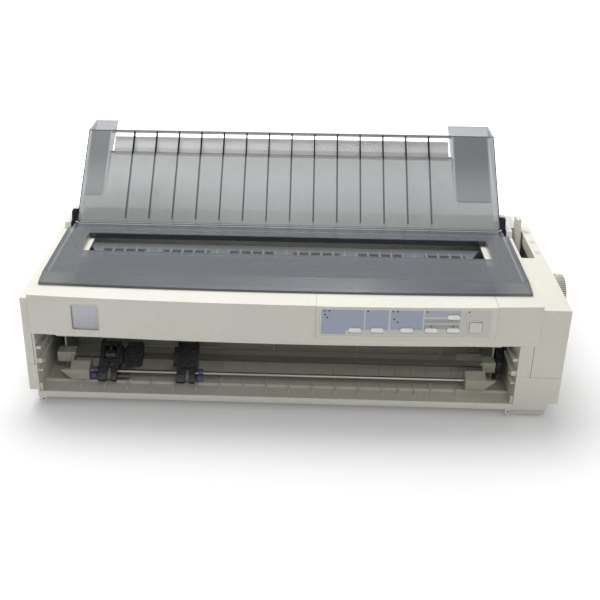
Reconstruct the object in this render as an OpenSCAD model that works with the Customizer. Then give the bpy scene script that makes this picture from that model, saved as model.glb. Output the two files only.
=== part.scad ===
// Wide-carriage dot matrix printer with a smoked printer cover and a raised sheet guide.
// Layout frame: x = 0 at the middle of the front fascia, +x to the knob side,
// y = 0 at the ends of the bowed fascia, +y to the rear, z = 0 on the desk.
// Every sub-part is moved by to_origin(), which puts the origin at the middle of the base.

/* [Case] */
// Width of the front fascia between the two side covers
fascia_w = 568; // [540:1:700]
// Width of the left side cover
left_cover_w = 9; // [8:0.5:14]
// Width of the right side cover
right_cover_w = 32; // [30:0.5:42]
// Depth of the case from the fascia ends to the rear wall
case_d = 357; // [340:1:440]
// Height of the fascia's top edge
fascia_top = 145.5; // [140:0.5:170]
// Height of the fascia's bottom edge
fascia_bottom = 97; // [90:0.5:104]
// How far the fascia bows forward at its middle
fascia_bow = 10; // [4:0.5:16]
// Wall thickness of the case mouldings
wall = 2.5; // [2:0.1:3]
// Height of the seam between the lower and the upper case
seam_z = 54.8; // [50:0.2:60]
// Height of the rear deck
deck_z = 112; // [106:0.5:116]
// Height of the two side covers
side_cover_top = 140; // [134:0.5:142]
// Depth at which the side covers start to drop to the rear deck
side_cover_run = 248; // [230:1:260]

/* [Base] */
// Height of the tray's underside
base_z = 12; // [10:0.5:14]
// Height of the underside of the side panels
skirt_z = 21.6; // [19:0.2:26]
// Clearance of the side legs above the desk
leg_gap = 3; // [2:0.5:5]
// Width of the right leg
leg_w = 39; // [30:1:44]
// Radius of a rubber foot
foot_r = 12; // [8:0.5:16]
// Spacing of the tray's floor ribs
rib_pitch = 27.3; // [20:0.1:34]
// Height of the tray's floor ribs
rib_h = 3.5; // [2:0.5:5]

/* [Front opening] */
// Width of the case left of the front opening
open_left_w = 2.5; // [2.5:0.5:8]
// Width of the case right of the front opening
open_right_w = 18.5; // [16:0.5:22]
// Height of the front lip
lip_top = 18.6; // [17:0.2:24]

/* [Printer cover] */
// Width of the case beside the printer cover
cover_side = 7.5; // [7.5:0.5:22]
// Height of the cover's flat top above the fascia's top edge
cover_rise = 7.1; // [5.5:0.1:8.5]
// Height of the cover's front edge above the fascia's top edge
cover_front_rise = 2.9; // [2.5:0.1:4.5]
// Depth of the crease across the cover
crease_y = 48; // [44:1:54]
// Depth of the front edge at the middle
cover_front_y = 20; // [18:1:24]
// How much further back the front edge lies at its ends
cover_bow = 6; // [2:0.5:8]
// Rear edge of the cover plate
cover_rear_y = 193; // [188:1:196]
// Thickness of the cover plate
cover_t = 2.2; // [1.6:0.1:2.4]
// Front edge of the paper slot
slot_front = 110; // [104:1:120]
// Rear edge of the paper slot
slot_rear = 164; // [156:1:170]
// Half the width of the paper slot
slot_half = 246; // [220:1:252]

/* [Hinge] */
// Depth of the hinge axis
hinge_y = 203; // [200:0.5:205]
// Height of the hinge axis above the fascia's top edge
hinge_rise = 2.9; // [2.5:0.1:3.5]
// Radius of the hinge tube
hinge_r = 3; // [2.6:0.1:3.4]
// Radius of the hinge pins
hinge_pin_r = 2; // [1.6:0.1:2.2]

/* [Sheet guide] */
// Width of the case beside the sheet guide
guide_side = 12; // [12:0.5:26]
// Length of the guide panel along its slope
guide_l = 141; // [120:1:150]
// Slope of the raised guide from the horizontal
guide_tilt = 38.5; // [30:0.5:45]
// Distance of the panel's lower edge from the hinge axis along the slope
guide_start = 7.7; // [7:0.1:10]
// Distance of the panel's front face behind the hinge axis
guide_drop = 4.8; // [4:0.1:6]
// Thickness of the guide panel
guide_t = 2; // [1.6:0.1:2.4]
// Spacing of the guide ribs
guide_rib_pitch = 30.4; // [26:0.1:34]
// Number of guide ribs
guide_ribs = 14; // [8:2:16]
// Depth of the guide ribs behind the panel
guide_rib_d = 3.2; // [2:0.1:3.6]
// Width of the left end cap
cap_w = 31; // [24:1:36]
// Width of the right end cap
right_cap_w = 55.5; // [24:0.5:60]
// Depth of the end caps' top flange
cap_d = 48; // [36:1:50]
// Length of the end caps down the panel
cap_l = 100; // [80:1:110]
// Height of the window along the slope
window_l = 36; // [24:1:44]

/* [Control panel] */
// Left edge of the panel insert
panel_left = 37; // [20:1:40]
// Right edge of the panel insert
panel_right = 235; // [228:1:245]
// Bottom edge of the panel insert
panel_bottom = 106; // [103:0.5:109]
// How far the panel insert stands out of the fascia
panel_proud = 1.2; // [0.6:0.1:2]
// Width of an oblong button
button_w = 14.5; // [12:0.5:17]
// Height of an oblong button
button_h = 5.4; // [4.4:0.2:6.4]
// Travel of every button
button_travel = 1.2; // [0.6:0.1:1.6]

/* [Platen] */
// Depth of the platen axis
platen_y = 92; // [90:0.5:94]
// Height of the platen axis
platen_z = 118; // [116:0.5:120]
// Radius of the platen rubber
platen_r = 17; // [14:0.5:18]
// Length of the platen rubber
platen_l = 436; // [380:2:440]
// Radius of the platen shaft
shaft_r = 5; // [4:0.25:6]
// Radius of the platen knob
knob_r = 24; // [18:0.5:26]
// Length of the platen knob outside the side cover
knob_l = 11; // [8:0.5:16]

/* [Tractors] */
// Depth of the tractor support rod
rod_y = 40; // [38:0.5:42]
// Height of the tractor support rod
rod_z = 27; // [26:0.5:29]
// Radius of the tractor support rod
rod_r = 2.6; // [1.5:0.1:3]
// Distance from the support rod to the tractor drive shaft
tractor_l = 20.6; // [20:0.2:24]
// Length of a tractor beyond the middle of its sprocket
nose_over = 10.4; // [7.4:0.2:13.4]
// Slope of the tractors
tractor_tilt = 38; // [34:0.5:42]
// Side of the square tractor drive shaft
square_a = 6; // [5:0.2:7]
// Place of the left tractor along the rods
left_tractor_x = -206; // [-214:1:-200]
// Place of the right tractor along the rods
right_tractor_x = -113; // [-120:1:-90]

/* [Gears] */
// Module of the feed gears
gear_m = 1; // [1:0.5:1]
// Teeth of the platen gear
platen_teeth = 40; // [40:1:40]
// Teeth of the idler gear
idler_teeth = 56; // [56:1:56]
// Teeth of the tractor gear
tractor_teeth = 28; // [28:1:28]
// Teeth of the feed motor's pinion
pinion_teeth = 12; // [12:1:12]
// Width of the feed gears
gear_w = 6; // [4:0.5:8]

/* [Carriage] */
// Depth of the carriage rod
carriage_rod_y = 56; // [55:0.5:57]
// Height of the carriage rod
carriage_rod_z = 105; // [104:0.5:106]
// Radius of the carriage rod
carriage_rod_r = 6; // [4:0.5:6]
// Place of the carriage
carriage_x = -150; // [-170:1:-100]
// Width of the carriage
carriage_w = 64; // [50:1:72]
// Radius of the belt pulleys
pulley_r = 8; // [7:0.5:9]

/* [Hidden] */
$fn = 48;
slide_gap = 0.3;   // between a moving piece and what it passes
run_gap = 0.06;    // radial clearance of a running fit
seam_gap = 0.2;    // between two mouldings that sit side by side
fine = 720;        // segments of the wide, shallow arcs
eps = 0.01;
over = 1;          // how far a cut runs past what it cuts
far = fascia_w / 2 + 16;    // past the whole machine
hold = 0.01;       // radial play of a piece that is pressed on its shaft
touch = 0.1;       // between two fixed pieces that are screwed together

half_w = fascia_w / 2;
open_left = open_left_w - half_w;       // inner walls of the front opening
open_right = half_w - open_right_w;
cover_half = half_w - cover_side;
guide_half = half_w - guide_side;
cover_top = fascia_top + cover_rise;
cover_front_top = fascia_top + cover_front_rise;
hinge_z = fascia_top + hinge_rise;
case_left = -half_w - left_cover_w;
case_right = half_w + right_cover_w;
knob_end = case_right + seam_gap + knob_l;
mech_x = (open_left + open_right) / 2;
bow_r = (half_w * half_w + fascia_bow * fascia_bow) / (2 * fascia_bow);
cover_bow_r = (cover_half * cover_half + cover_bow * cover_bow) / (2 * cover_bow);
side_front = 2.7;                       // front face of the side covers
floor_z = base_z + wall;                // top of the tray floor
well_left = open_left;                  // inner walls of the tray
well_right = open_right;
left_leg_w = 3.2;
leg_front = 8;                          // front faces of the legs
floor_ribs = 14;
rib_start = -237;                       // first of the evenly spaced floor ribs
rib_extra = [137, 156, 175, 204];       // shorter spaced ribs at the right
rib_t = 1.6;
ridge_y = 34;                           // ridge that crosses the floor ribs
rib_front = 21;                         // front end of the floor ribs
lip_slope = 1.6;                        // sloped front of the lip, its depth and height
lip_slope_h = 3.2;
catch_w = 5.4;                          // small catches for a front cover
catch_y = 6;
catch_d = 2.5;
catch_t = 1.6;
slot_z = 44.6;                          // lower slots of the catches, and a pin beside them
slot_d = 14;
slot_pin = [22, 49.4];                  // y, z of the pin
slot_pin_r = 1.8;
hook_w = 3;
hook_top = 28;
clip_x = [open_left + 4, open_right - 4.5]; // small clips under the ends of the lip
clip_y = 6;
clip_r = 3.2;
clip_hole_r = 1.5;
standoff_r = 4;

// chassis plates
plate_t = 2;
plate_left = open_left + 21.5;          // inner face of the left plate
plate_right = open_right - 17.5;        // inner face of the right plate
plate_front = 46;
plate_rear = 150;
plate_top = 135;
plate_low_y = 60;                       // front edge of the plates' lower part
back_y = 108.3;                         // front face of the cross plate
back_bottom = 25;
back_top = 82;
web_y0 = back_y - 3.3;                  // front face of the low wall in front of the cross plate
low_wall_h = 9;

// top opening of the upper case, under the printer cover
top_open_half = slot_half - 6;
top_open_front = 34;
top_open_rear = 172;
ledge_bottom = fascia_top - wall;
cover_seat = fascia_top + seam_gap + 0.2;
ear_top = fascia_top + 7.5;
ear_front = hinge_y - 10;
ear_rear = 262;
trough_y = hinge_y - 6.5;               // front wall of the trough under the hinge tube
trough_z = hinge_z - 6.4;               // floor of the trough
fascia_return = 12;                     // depth of the lip under the fascia
side_wall_y = 4;                        // front edge of the side walls
shaft_room = 1;                         // free space around the platen shaft in the walls
column_rear = 150;                      // columns beside the front opening
column_top = fascia_bottom + 12;
// rails on the inner walls: height at the front and at the rear, and the catch at the front end
rails = [[56.2, 56.2, 55.2, 60.8], [74.6, 66.6, 73.4, 77]];
rail_front = catch_y + catch_d;
rail_rear = 60;
rail_w = 4.6;
ledge_t = 2;
louvres = 8;
louvre_x = -120;
louvre_pitch = 30;
step_y = hinge_y + 3;                   // step down to the rear deck

// slope of the printer cover in front of its crease, and half the length of its hinge knuckle
function slope_z(y) = cover_top - (crease_y - y) * (cover_top - cover_front_top) / (crease_y - cover_front_y);
knuckle_half = cover_half - 10.5;

// sheet guide, in its own frame: u along the slope, n out of its front face
function guide_pt(u, n) = [hinge_y + u * cos(guide_tilt) - n * sin(guide_tilt),
                           hinge_z + u * sin(guide_tilt) + n * cos(guide_tilt)];
guide_end = guide_start + guide_l;
cap_left_in = cap_w - guide_half;       // inner sides of the end caps
cap_right_in = guide_half - right_cap_w;
guide_mid = (cap_left_in + cap_right_in) / 2;
cap_t = 1.6;                            // walls of the end caps
arm_t = 4.1;                            // arms on the hinge tube
flap_u = guide_end - 28;
flap_n = -guide_drop - guide_t - guide_rib_d - 4.8;
flap_low = 4;                           // part of the guide flap below its pins
flap_pin_r = 1.5;
guide_rear = guide_pt(guide_end, -guide_drop)[0] + cap_d;

// tractors
function tractor_pt(u, n) = [rod_y + u * cos(tractor_tilt) - n * sin(tractor_tilt),
                             rod_z + u * sin(tractor_tilt) + n * cos(tractor_tilt)];
drive_y = tractor_pt(tractor_l, 0)[0];
drive_z = tractor_pt(tractor_l, 0)[1];
nose_l = tractor_l + nose_over;
tractor_r = 10;                         // half the height of a tractor
tractor_w = 24;                         // width of a tractor's frame
cheek_t = 3;
hub_r = 5.5;                            // hub of a sprocket, and half the width of its toothed part
tooth_half = 6;
pin_pitch = 12.7;                       // spacing of the paper's edge holes
pin_r = 1.5;
pin_tip_r = tractor_r + 0.6;
flap_u0 = 2;                            // front edge and length of a flap
flap_l = nose_l + 1;
flap_t = 2;
flap_off = 2;                           // hinge axis of a flap outside the frame
flap_pin = 1;
flap_axis_n = tractor_r - 1;
flap_lift = 2.3;                        // underside of a closed flap above its hinge axis
flap_open = 168;                        // how far the left flap stands open
lug_u = [5, 26];                        // lugs of the flap hinge
lug_l = 3;
journal_r = square_a * 0.75;            // round ends of the square shaft
hood_r = 13;                            // hoods over the ends of the support rod
wing_l = 12;
housing_half = 6.5;                     // housings of the drive shaft's ends
function hood_x(side) = side < 0 ? [plate_left + 9.5, plate_left + 31.8]
                                 : [plate_right - 33.4, plate_right - 10.4];
function housing_x(side) = side < 0 ? [plate_left - 9.5, plate_left + 11.5]
                                    : [plate_right - 12.4, plate_right + 3];

// feed gears: pitch radii, centres and phases
function pitch_r(teeth) = gear_m * teeth / 2;
function phase_after(phase, teeth_1, teeth_2, dir) =
    dir + 180 + (dir - phase) * teeth_1 / teeth_2 + 180 / teeth_2;
gear_x = plate_right + plate_t + 2;
platen_phase = 0;
to_drive = [drive_y - platen_y, drive_z - platen_z];
drive_dist = norm(to_drive);
reach_1 = pitch_r(platen_teeth + idler_teeth);
reach_2 = pitch_r(idler_teeth + tractor_teeth);
along = (reach_1 * reach_1 - reach_2 * reach_2 + drive_dist * drive_dist) / (2 * drive_dist);
aside = sqrt(max(0, reach_1 * reach_1 - along * along));
unit = to_drive / drive_dist;
idler_y = platen_y + along * unit[0] - aside * unit[1];
idler_z = platen_z + along * unit[1] + aside * unit[0];
idler_dir = atan2(idler_z - platen_z, idler_y - platen_y);
idler_phase = phase_after(platen_phase, platen_teeth, idler_teeth, idler_dir);
drive_dir = atan2(drive_z - idler_z, drive_y - idler_y);
tractor_phase = phase_after(idler_phase, idler_teeth, tractor_teeth, drive_dir);
pinion_dir = -35;
idler_stub_r = 2.94;
pinion_shaft_r = 2;
feed_motor_r = 18;
pinion_y = platen_y + pitch_r(platen_teeth + pinion_teeth) * cos(pinion_dir);
pinion_z = platen_z + pitch_r(platen_teeth + pinion_teeth) * sin(pinion_dir);
pinion_phase = phase_after(platen_phase, platen_teeth, pinion_teeth, pinion_dir);

// carriage drive
belt_y = 38;                            // middle between the two belt strands
belt_z0 = 88;
belt_z1 = 94;
belt_t = 1.2;
drive_pulley_x = plate_left + 24;
idler_pulley_x = plate_right - 18;
belt_in_r = pulley_r + 0.2;             // inside of the belt around a pulley
pulley_shaft_r = 2.5;
pulley_stub_r = 1.94;
idler_shelf_z = belt_z1 + 2.5;
belt_motor_z0 = 98;
belt_motor_h = 28;
belt_motor_r = 11.6;                    // narrow enough to stand beside the carriage rod
rail_y0 = 17;
rail_y1 = 24;
rail_z = 93;
rail_t = 1.5;
arm_z0 = rail_z - 3;                    // front arms of the chassis plates
arm_z1 = 112;
carriage_top = carriage_rod_z + 7;
cartridge_z = 127;
head_r = 13.5;
head_z = carriage_top + head_r;
nose_y = platen_y - platen_r - 1.4;      // tip of the print head's nose

// tension unit under the paper slot
tension_y = 146;
tension_z = 131;
tension_r = 6;
tension_shaft_r = 2.5;
tension_bar_z = 139.5;
tension_pitch = 79.5;
function tension_x(i) = -161 + i * tension_pitch;

// electronics and rear connectors
port_x0 = -205;
port_x1 = -148;
port_z0 = 25;
port_z1 = 38;
inlet_x0 = 178;
inlet_x1 = 208;
inlet_z0 = 24;
inlet_z1 = 46;
board_z = 22;
board_t = 1.6;
board_holes_x = [-250, -150, -20];
board_holes_y = [200, case_d - 27];
feet_x = [46 - half_w, half_w - 46];
feet_y = [40, case_d - 32];

// release lever
lever_y = 205;
lever_z = 70;
lever_pin_r = 4;
lever_x0 = half_w + 10;
lever_x1 = lever_x0 + 7;
lever_tip_z = 159;
lever_slot_x0 = half_w + 3;
lever_slot_x1 = half_w + 19.5;
lever_slot_y0 = 145;
lever_slot_y1 = 242;
slot_wall_h = 14;                       // how far the slot's walls hang down
slot_wall_t = 1.5;
mark_y = [158, 190, 222];               // groups of raised marks beside the slot
mark_pitch = 3.2;

// control panel details: [x, z] of the button centres, on the fascia
panel_back = 30;                        // rear edge of the insert's top strip
pill_buttons = [[79.8, 117.5], [104.1, 117.8], [136.3, 118.1], [163.1, 118.2], [187.4, 118.4],
                [186.6, 134.3]];
power_xz = [211.7, 121.8];
power_w = 14;
power_h = 12.5;
overlay_x0 = 41;
overlay_x1 = 229;
overlay_z0 = 110;
overlay_z1 = 143.4;
overlay_t = 0.6;
lamp_r = 0.85;
pill_proud = 1.8;                       // how far an oblong button stands out of the insert
power_proud = 1.6;
button_l = button_travel + 5;                        // buttons behind the insert's face
screw_z = 98;
screw_r = 3.6;
knob_step = 2;                          // stepped end of the platen knob
knob_cap = 3;
knob_grips = 36;
panel_front = -fascia_bow - 4;          // depths that clear the whole panel
panel_rear = 12;
lamps = [[46.2, 140.4], [51.4, 140.4], [46.9, 135.8], [49.4, 132.2], [93.3, 140.6], [120.6, 140.6],
         [125.6, 140.6], [122, 131.2], [126, 127.6], [157.6, 140.5], [203, 140.4], [162.8, 122.8],
         [187.1, 122.9]];
badge_x0 = -234.6;
badge_x1 = -204.4;
badge_z0 = 105.8;
badge_z1 = 135.6;
badge_depth = 1.2;

// extent of the whole machine, for the origin at the middle of the base
front_y = panel_face(pill_buttons[0][0]) - pill_proud;
mid_x = (case_left + knob_end) / 2;
mid_y = (front_y + guide_rear) / 2;

beige = [0.86, 0.84, 0.76];
smoke = [0.36, 0.38, 0.42, 0.8];
steel = [0.72, 0.72, 0.72];
black = [0.09, 0.09, 0.1];
blue = [0.35, 0.35, 0.7];

// ---------------------------------------------------------------- shared shapes

module to_origin() translate([-mid_x, -mid_y, 0]) children();

// box between two corners
module block(x0, x1, y0, y1, z0, z1)
    translate([x0, y0, z0]) cube([x1 - x0, y1 - y0, z1 - z0]);

// round bar along x, at [y, z]
module bar_x(x0, x1, y, z, r)
    translate([x0, y, z]) rotate([0, 90, 0]) cylinder(r = r, h = x1 - x0);

// bar along x with n sides
module bar_n(x0, x1, y, z, r, n)
    translate([x0, y, z]) rotate([0, 90, 0]) cylinder(r = r, h = x1 - x0, $fn = n);

// round bar along y, at [x, z]
module bar_y(y0, y1, x, z, r)
    translate([x, y0, z]) rotate([-90, 0, 0]) cylinder(r = r, h = y1 - y0);

// round bar along z, at [x, y]
module bar_z(z0, z1, x, y, r) translate([x, y, z0]) cylinder(r = r, h = z1 - z0);

// outline in the y-z plane, drawn out along x
module plate_x(x0, x1, points)
    translate([x0, 0, 0]) rotate([90, 0, 90]) linear_extrude(x1 - x0) polygon(points);

// outline in the x-z plane, drawn out along y
module plate_y(y0, y1, points)
    translate([0, y1, 0]) rotate([90, 0, 0]) linear_extrude(y1 - y0) polygon(points);

// slab that follows the bowed fascia: from `out` in front of its face to `in` behind it
module bowed(x0, x1, z0, z1, out, in)
    intersection() {
        block(x0, x1, -fascia_bow - out - over, 40, z0, z1);
        translate([0, bow_r - fascia_bow, z0]) difference() {
            cylinder(r = bow_r + out, h = z1 - z0, $fn = fine);
            translate([0, 0, -over]) cylinder(r = bow_r - in, h = z1 - z0 + 2 * over, $fn = fine);
        }
    }

// everything behind an arc of radius r that comes furthest forward at y
module behind_bow(r, y) translate([0, y + r, 0]) cylinder(r = r, h = far, $fn = fine);

// depth of the fascia's face at x
function face_y(x) = bow_r - fascia_bow - sqrt(bow_r * bow_r - x * x);
function panel_face(x) = face_y(x) - panel_proud;

// side profile of the case mouldings at the sides, [y, z]
function side_profile(front, top, run, low, bottom, rear) =
    [[front, bottom], [front, top], [run, top], [run + 14, top - 10], [run + 40, low], [rear, low],
     [rear, bottom]];
side_outside = side_profile(side_front, side_cover_top, side_cover_run, deck_z, seam_z + seam_gap, case_d);
side_inside = side_profile(side_front + wall, side_cover_top - wall, side_cover_run - 1, deck_z - wall,
                           seam_z - over, case_d - wall);

// spur gear around the x axis, with straight flanks and backlash
module gear_x(x0, y, z, teeth, phase, bore) {
    r = pitch_r(teeth);
    root = r - 1.25 * gear_m;
    tip = r + 0.9 * gear_m;
    translate([x0, y, z]) rotate([90, 0, 90]) difference() {
        union() {
            cylinder(r = root, h = gear_w, $fn = 96);
            for (i = [0 : teeth - 1])
                rotate(phase + i * 360 / teeth) linear_extrude(gear_w)
                    polygon([[root - 0.6, -1.05 * gear_m], [root - 0.6, 1.05 * gear_m], [r, 0.68 * gear_m],
                             [tip, 0.3 * gear_m], [tip, -0.3 * gear_m], [r, -0.68 * gear_m]]);
        }
        translate([0, 0, -over]) cylinder(r = bore, h = gear_w + 2 * over);
    }
}

// piece drawn in the sheet guide's own frame: x, u along the slope, n out of its face
module on_guide() translate([0, hinge_y, hinge_z]) rotate([guide_tilt, 0, 0]) children();

// piece drawn in the tractors' own frame
module on_tractor() translate([0, rod_y, rod_z]) rotate([tractor_tilt, 0, 0]) children();

// ---------------------------------------------------------------- case

module lower_case() to_origin() color(beige) {
    left_leg = -half_w + 0.5;
    right_leg = open_right + 0.5;
    right_leg_end = open_right + leg_w;
    inside_y0 = side_front + wall;
    inside_y1 = case_d - wall;
    outline = [[case_left, seam_z], [case_left, skirt_z], [left_leg, skirt_z], [left_leg, leg_gap],
               [left_leg + left_leg_w, leg_gap], [left_leg + left_leg_w, base_z], [right_leg, base_z],
               [right_leg, leg_gap], [right_leg_end, leg_gap], [right_leg_end, skirt_z],
               [case_right, skirt_z], [case_right, seam_z]];
    difference() {
        plate_y(side_front, case_d, outline);
        // the well, open at the front above the lip
        block(well_left, well_right, inside_y0, inside_y1, floor_z, seam_z + over);
        block(well_left, well_right, side_front - over, inside_y0 + over, lip_top, seam_z + over);
        // sloped front of the lip
        plate_x(well_left, well_right,
                [[side_front - over, lip_top + over], [side_front - over, lip_top - lip_slope_h],
                 [side_front, lip_top - lip_slope_h], [side_front + lip_slope, lip_top],
                 [side_front + lip_slope, lip_top + over]]);
        // hollow side panels and right leg
        block(case_left + wall, well_left - wall, inside_y0, inside_y1, skirt_z + wall, seam_z + over);
        block(well_right + wall, case_right - wall, inside_y0, inside_y1, skirt_z + wall, seam_z + over);
        block(right_leg + wall, right_leg_end - wall, leg_front + 4, case_d - 8, -over, skirt_z - wall);
        // legs start a little behind the side panels
        block(case_left, case_right, -over, leg_front, -over, base_z - eps);
        // openings for the rear connectors
        rear_hole(port_x0, port_x1, port_z0, port_z1);
        rear_hole(inlet_x0, inlet_x1, inlet_z0, inlet_z1);
    }
    // floor ribs, and the low ridge that crosses them
    for (i = [0 : floor_ribs - 1]) floor_rib(rib_start + i * rib_pitch);
    for (x = rib_extra) floor_rib(x);
    block(well_left, well_right, ridge_y, ridge_y + rib_t, floor_z, floor_z + rib_h - 0.5);
    // standoffs for the main board
    for (x = board_holes_x, y = board_holes_y) bar_z(floor_z, board_z, x, y, standoff_r);
    // lower slots, pins and hooks for a front cover, on the inner walls
    for (side = [0, 1]) {
        x = side ? well_right : well_left;
        inward = side ? -1 : 1;
        block(min(x, x + inward * catch_w), max(x, x + inward * catch_w),
              catch_y, catch_y + slot_d, slot_z, slot_z + catch_t);
        bar_x(min(x, x + inward * rail_w), max(x, x + inward * rail_w), slot_pin[0], slot_pin[1], slot_pin_r);
        block(min(x, x + inward * hook_w), max(x, x + inward * hook_w),
              catch_y, catch_y + catch_d, lip_top - 1, hook_top);
    }
    // clips under the ends of the lip
    for (x = clip_x)
        difference() {
            union() {
                bar_y(side_front, clip_y, x, base_z - clip_r, clip_r);
                block(x - clip_r, x + clip_r, side_front, clip_y, base_z - clip_r, base_z + eps);
            }
            bar_y(side_front - over, clip_y + over, x, base_z - clip_r, clip_hole_r);
        }
}

// rib on the tray floor, from the lip to the wall under the platen
module floor_rib(x)
    block(x - rib_t / 2, x + rib_t / 2, rib_front, web_y0 - 2, floor_z, floor_z + rib_h);

// opening in the rear wall around a connector
module rear_hole(x0, x1, z0, z1)
    block(x0 - slide_gap, x1 + slide_gap, case_d - wall - over, case_d + over,
          z0 - slide_gap, z1 + slide_gap);

module rubber_feet() to_origin() color(black)
    for (x = feet_x, y = feet_y) bar_z(0, base_z, x, y, foot_r);

module upper_case() to_origin() color(beige) {
    // bowed fascia with a return lip along its bottom edge
    difference() {
        union() {
            bowed(-half_w, half_w, fascia_bottom, fascia_top, 0, wall);
            bowed(-half_w, half_w, fascia_bottom, fascia_bottom + wall, 0, fascia_return);
            // top ledge around the printer cover, up to the hinge trough
            intersection() {
                block(-half_w, half_w, -fascia_bow - over, trough_y, ledge_bottom, fascia_top);
                behind_bow(bow_r, -fascia_bow);
            }
        }
        block(-top_open_half, top_open_half, top_open_front, top_open_rear,
              ledge_bottom - over, fascia_top + over);
        // pocket of the control panel, also through the top ledge
        panel_pocket(seam_gap);
        // recess of the name badge
        bowed(badge_x0 - seam_gap, badge_x1 + seam_gap, badge_z0 - seam_gap, badge_z1 + seam_gap,
              over, badge_depth);
    }
    // side walls
    difference() {
        for (x = [-half_w, half_w - wall])
            plate_x(x, x + wall, [[side_wall_y, seam_z + seam_gap], [side_wall_y, fascia_bottom],
                                  [over, fascia_bottom], [over, fascia_top], [ear_rear, fascia_top],
                                  [ear_rear, deck_z], [case_d, deck_z], [case_d, seam_z + seam_gap]]);
        bar_x(half_w - wall - over, case_right, platen_y, platen_z, shaft_r + shaft_room);
        block(half_w - wall - over, half_w + over, -over, side_wall_y + 2,
              seam_z - over, fascia_bottom - eps);
    }
    // columns beside the front opening
    difference() {
        union() {
            block(open_right, half_w - 3.5, side_front, side_front + wall,
                  seam_z + seam_gap, fascia_bottom + wall);
            block(open_right, open_right + wall, side_front, column_rear, seam_z + seam_gap, column_top);
            block(open_right, half_w, column_rear - wall, column_rear, seam_z + seam_gap, column_top);
        }
        bar_x(open_right - over, open_right + wall + over, platen_y, platen_z, shaft_r + shaft_room);
    }
    // rails and catches for a front cover, on both inner walls
    for (side = [0, 1], rail = rails) {
        x = side ? open_right - rail_w : open_left;
        plate_x(x, x + rail_w, [[rail_front, rail[0]], [rail_rear, rail[1]], [rail_rear, rail[1] + ledge_t],
                                [rail_front, rail[0] + ledge_t]]);
        catch_x = side ? open_right - catch_w : open_left;
        block(catch_x, catch_x + catch_w, catch_y, rail_front + eps, rail[2], rail[3]);
    }
    // trough under the hinge tube, step, rear deck and rear wall
    block(-half_w, half_w, trough_y - wall, trough_y, trough_z - wall, fascia_top);
    block(-half_w, half_w, trough_y - wall, step_y + wall, trough_z - wall, trough_z);
    block(-half_w, half_w, step_y, step_y + wall, deck_z - wall, trough_z);
    block(-half_w, half_w, step_y, case_d, deck_z - wall, deck_z);
    block(-half_w, half_w, case_d - wall, case_d, seam_z + seam_gap, deck_z);
    // hinge ears at both ends
    difference() {
        for (x = [-half_w, cover_half + 0.5])
            plate_x(x, x + half_w - cover_half - 0.5,
                    [[ear_front, fascia_top - eps], [ear_front + 4, ear_top], [ear_rear - 8, ear_top],
                     [ear_rear, ear_top - 6], [ear_rear, fascia_top - eps]]);
        bar_x(-half_w - 1, half_w + 1, hinge_y, hinge_z, hinge_pin_r + run_gap);
    }
    // pivot boss of the release lever, and the rear louvres
    bar_x(half_w - eps, lever_x1 + 3, lever_y, lever_z, lever_pin_r);
    bar_x(half_w - eps, lever_x0 - slide_gap, lever_y, lever_z, lever_pin_r + 3);
    for (i = [0 : louvres - 1])
        block(louvre_x + i * louvre_pitch, louvre_x + i * louvre_pitch + 20,
              case_d - eps, case_d + 1.5, 70, 72.5);
}

// room in the fascia and the top ledge for the panel insert
module panel_pocket(gap) {
    x0 = panel_left - gap;
    x1 = panel_right + gap;
    bowed(x0, x1, panel_bottom - gap, fascia_top + over, 3, wall + over);
    block(x0, x1, -fascia_bow - 2, panel_back + gap, ledge_bottom - over, fascia_top + over);
}

module left_side_cover() to_origin() color(beige)
    difference() {
        plate_x(case_left, -half_w - seam_gap, side_outside);
        plate_x(case_left + wall, -half_w + over, side_inside);
    }

module right_side_cover() to_origin() color(beige) {
    difference() {
        union() {
            plate_x(half_w + seam_gap, case_right, side_outside);
            // strip that covers the case's corner beside the front opening
            block(half_w - 3, half_w + over, side_front, side_front + wall, seam_z + seam_gap,
                  fascia_bottom - slide_gap);
        }
        plate_x(half_w - over, case_right - wall, side_inside);
        lever_slot(side_cover_top - wall - over, side_cover_top + over, 0);
        bar_x(case_right - wall - over, case_right + over, platen_y, platen_z, shaft_r + shaft_room);
    }
    // walls that hang from the edges of the lever slot
    difference() {
        lever_slot(side_cover_top - slot_wall_h, side_cover_top - wall + eps, slot_wall_t);
        lever_slot(side_cover_top - slot_wall_h - over, side_cover_top, 0);
    }
    // raised marks beside the slot
    for (y = mark_y, k = [0 : 2])
        block(lever_slot_x1 + 3, lever_slot_x1 + 9, y + k * mark_pitch, y + k * mark_pitch + 1.4,
              side_cover_top - eps, side_cover_top + 0.6);
}

// outline of the lever slot, widened by gap, between two heights
module lever_slot(z0, z1, gap)
    block(lever_slot_x0 - gap, lever_slot_x1 + gap, lever_slot_y0 - gap, lever_slot_y1 + gap, z0, z1);

// ---------------------------------------------------------------- control panel

// oblong outline of a button, widened by gap, between two depths
module pill(xz, y0, y1, gap) {
    r = button_h / 2 + gap;
    half = button_w / 2 - button_h / 2;
    for (s = [-1, 1]) bar_y(y0, y1, xz[0] + s * half, xz[1], r);
    block(xz[0] - half, xz[0] + half, y0, y1, xz[1] - r, xz[1] + r);
}

// square outline of the power button, widened by gap, between two depths
module power_block(y0, y1, gap) {
    half = power_w / 2 + gap;
    rise = power_h / 2 + gap;
    block(power_xz[0] - half, power_xz[0] + half, y0, y1, power_xz[1] - rise, power_xz[1] + rise);
}

module button_holes(gap) {
    for (xz = pill_buttons) pill(xz, panel_front, panel_rear, gap);
    power_block(panel_front, panel_rear, gap);
}

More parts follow.
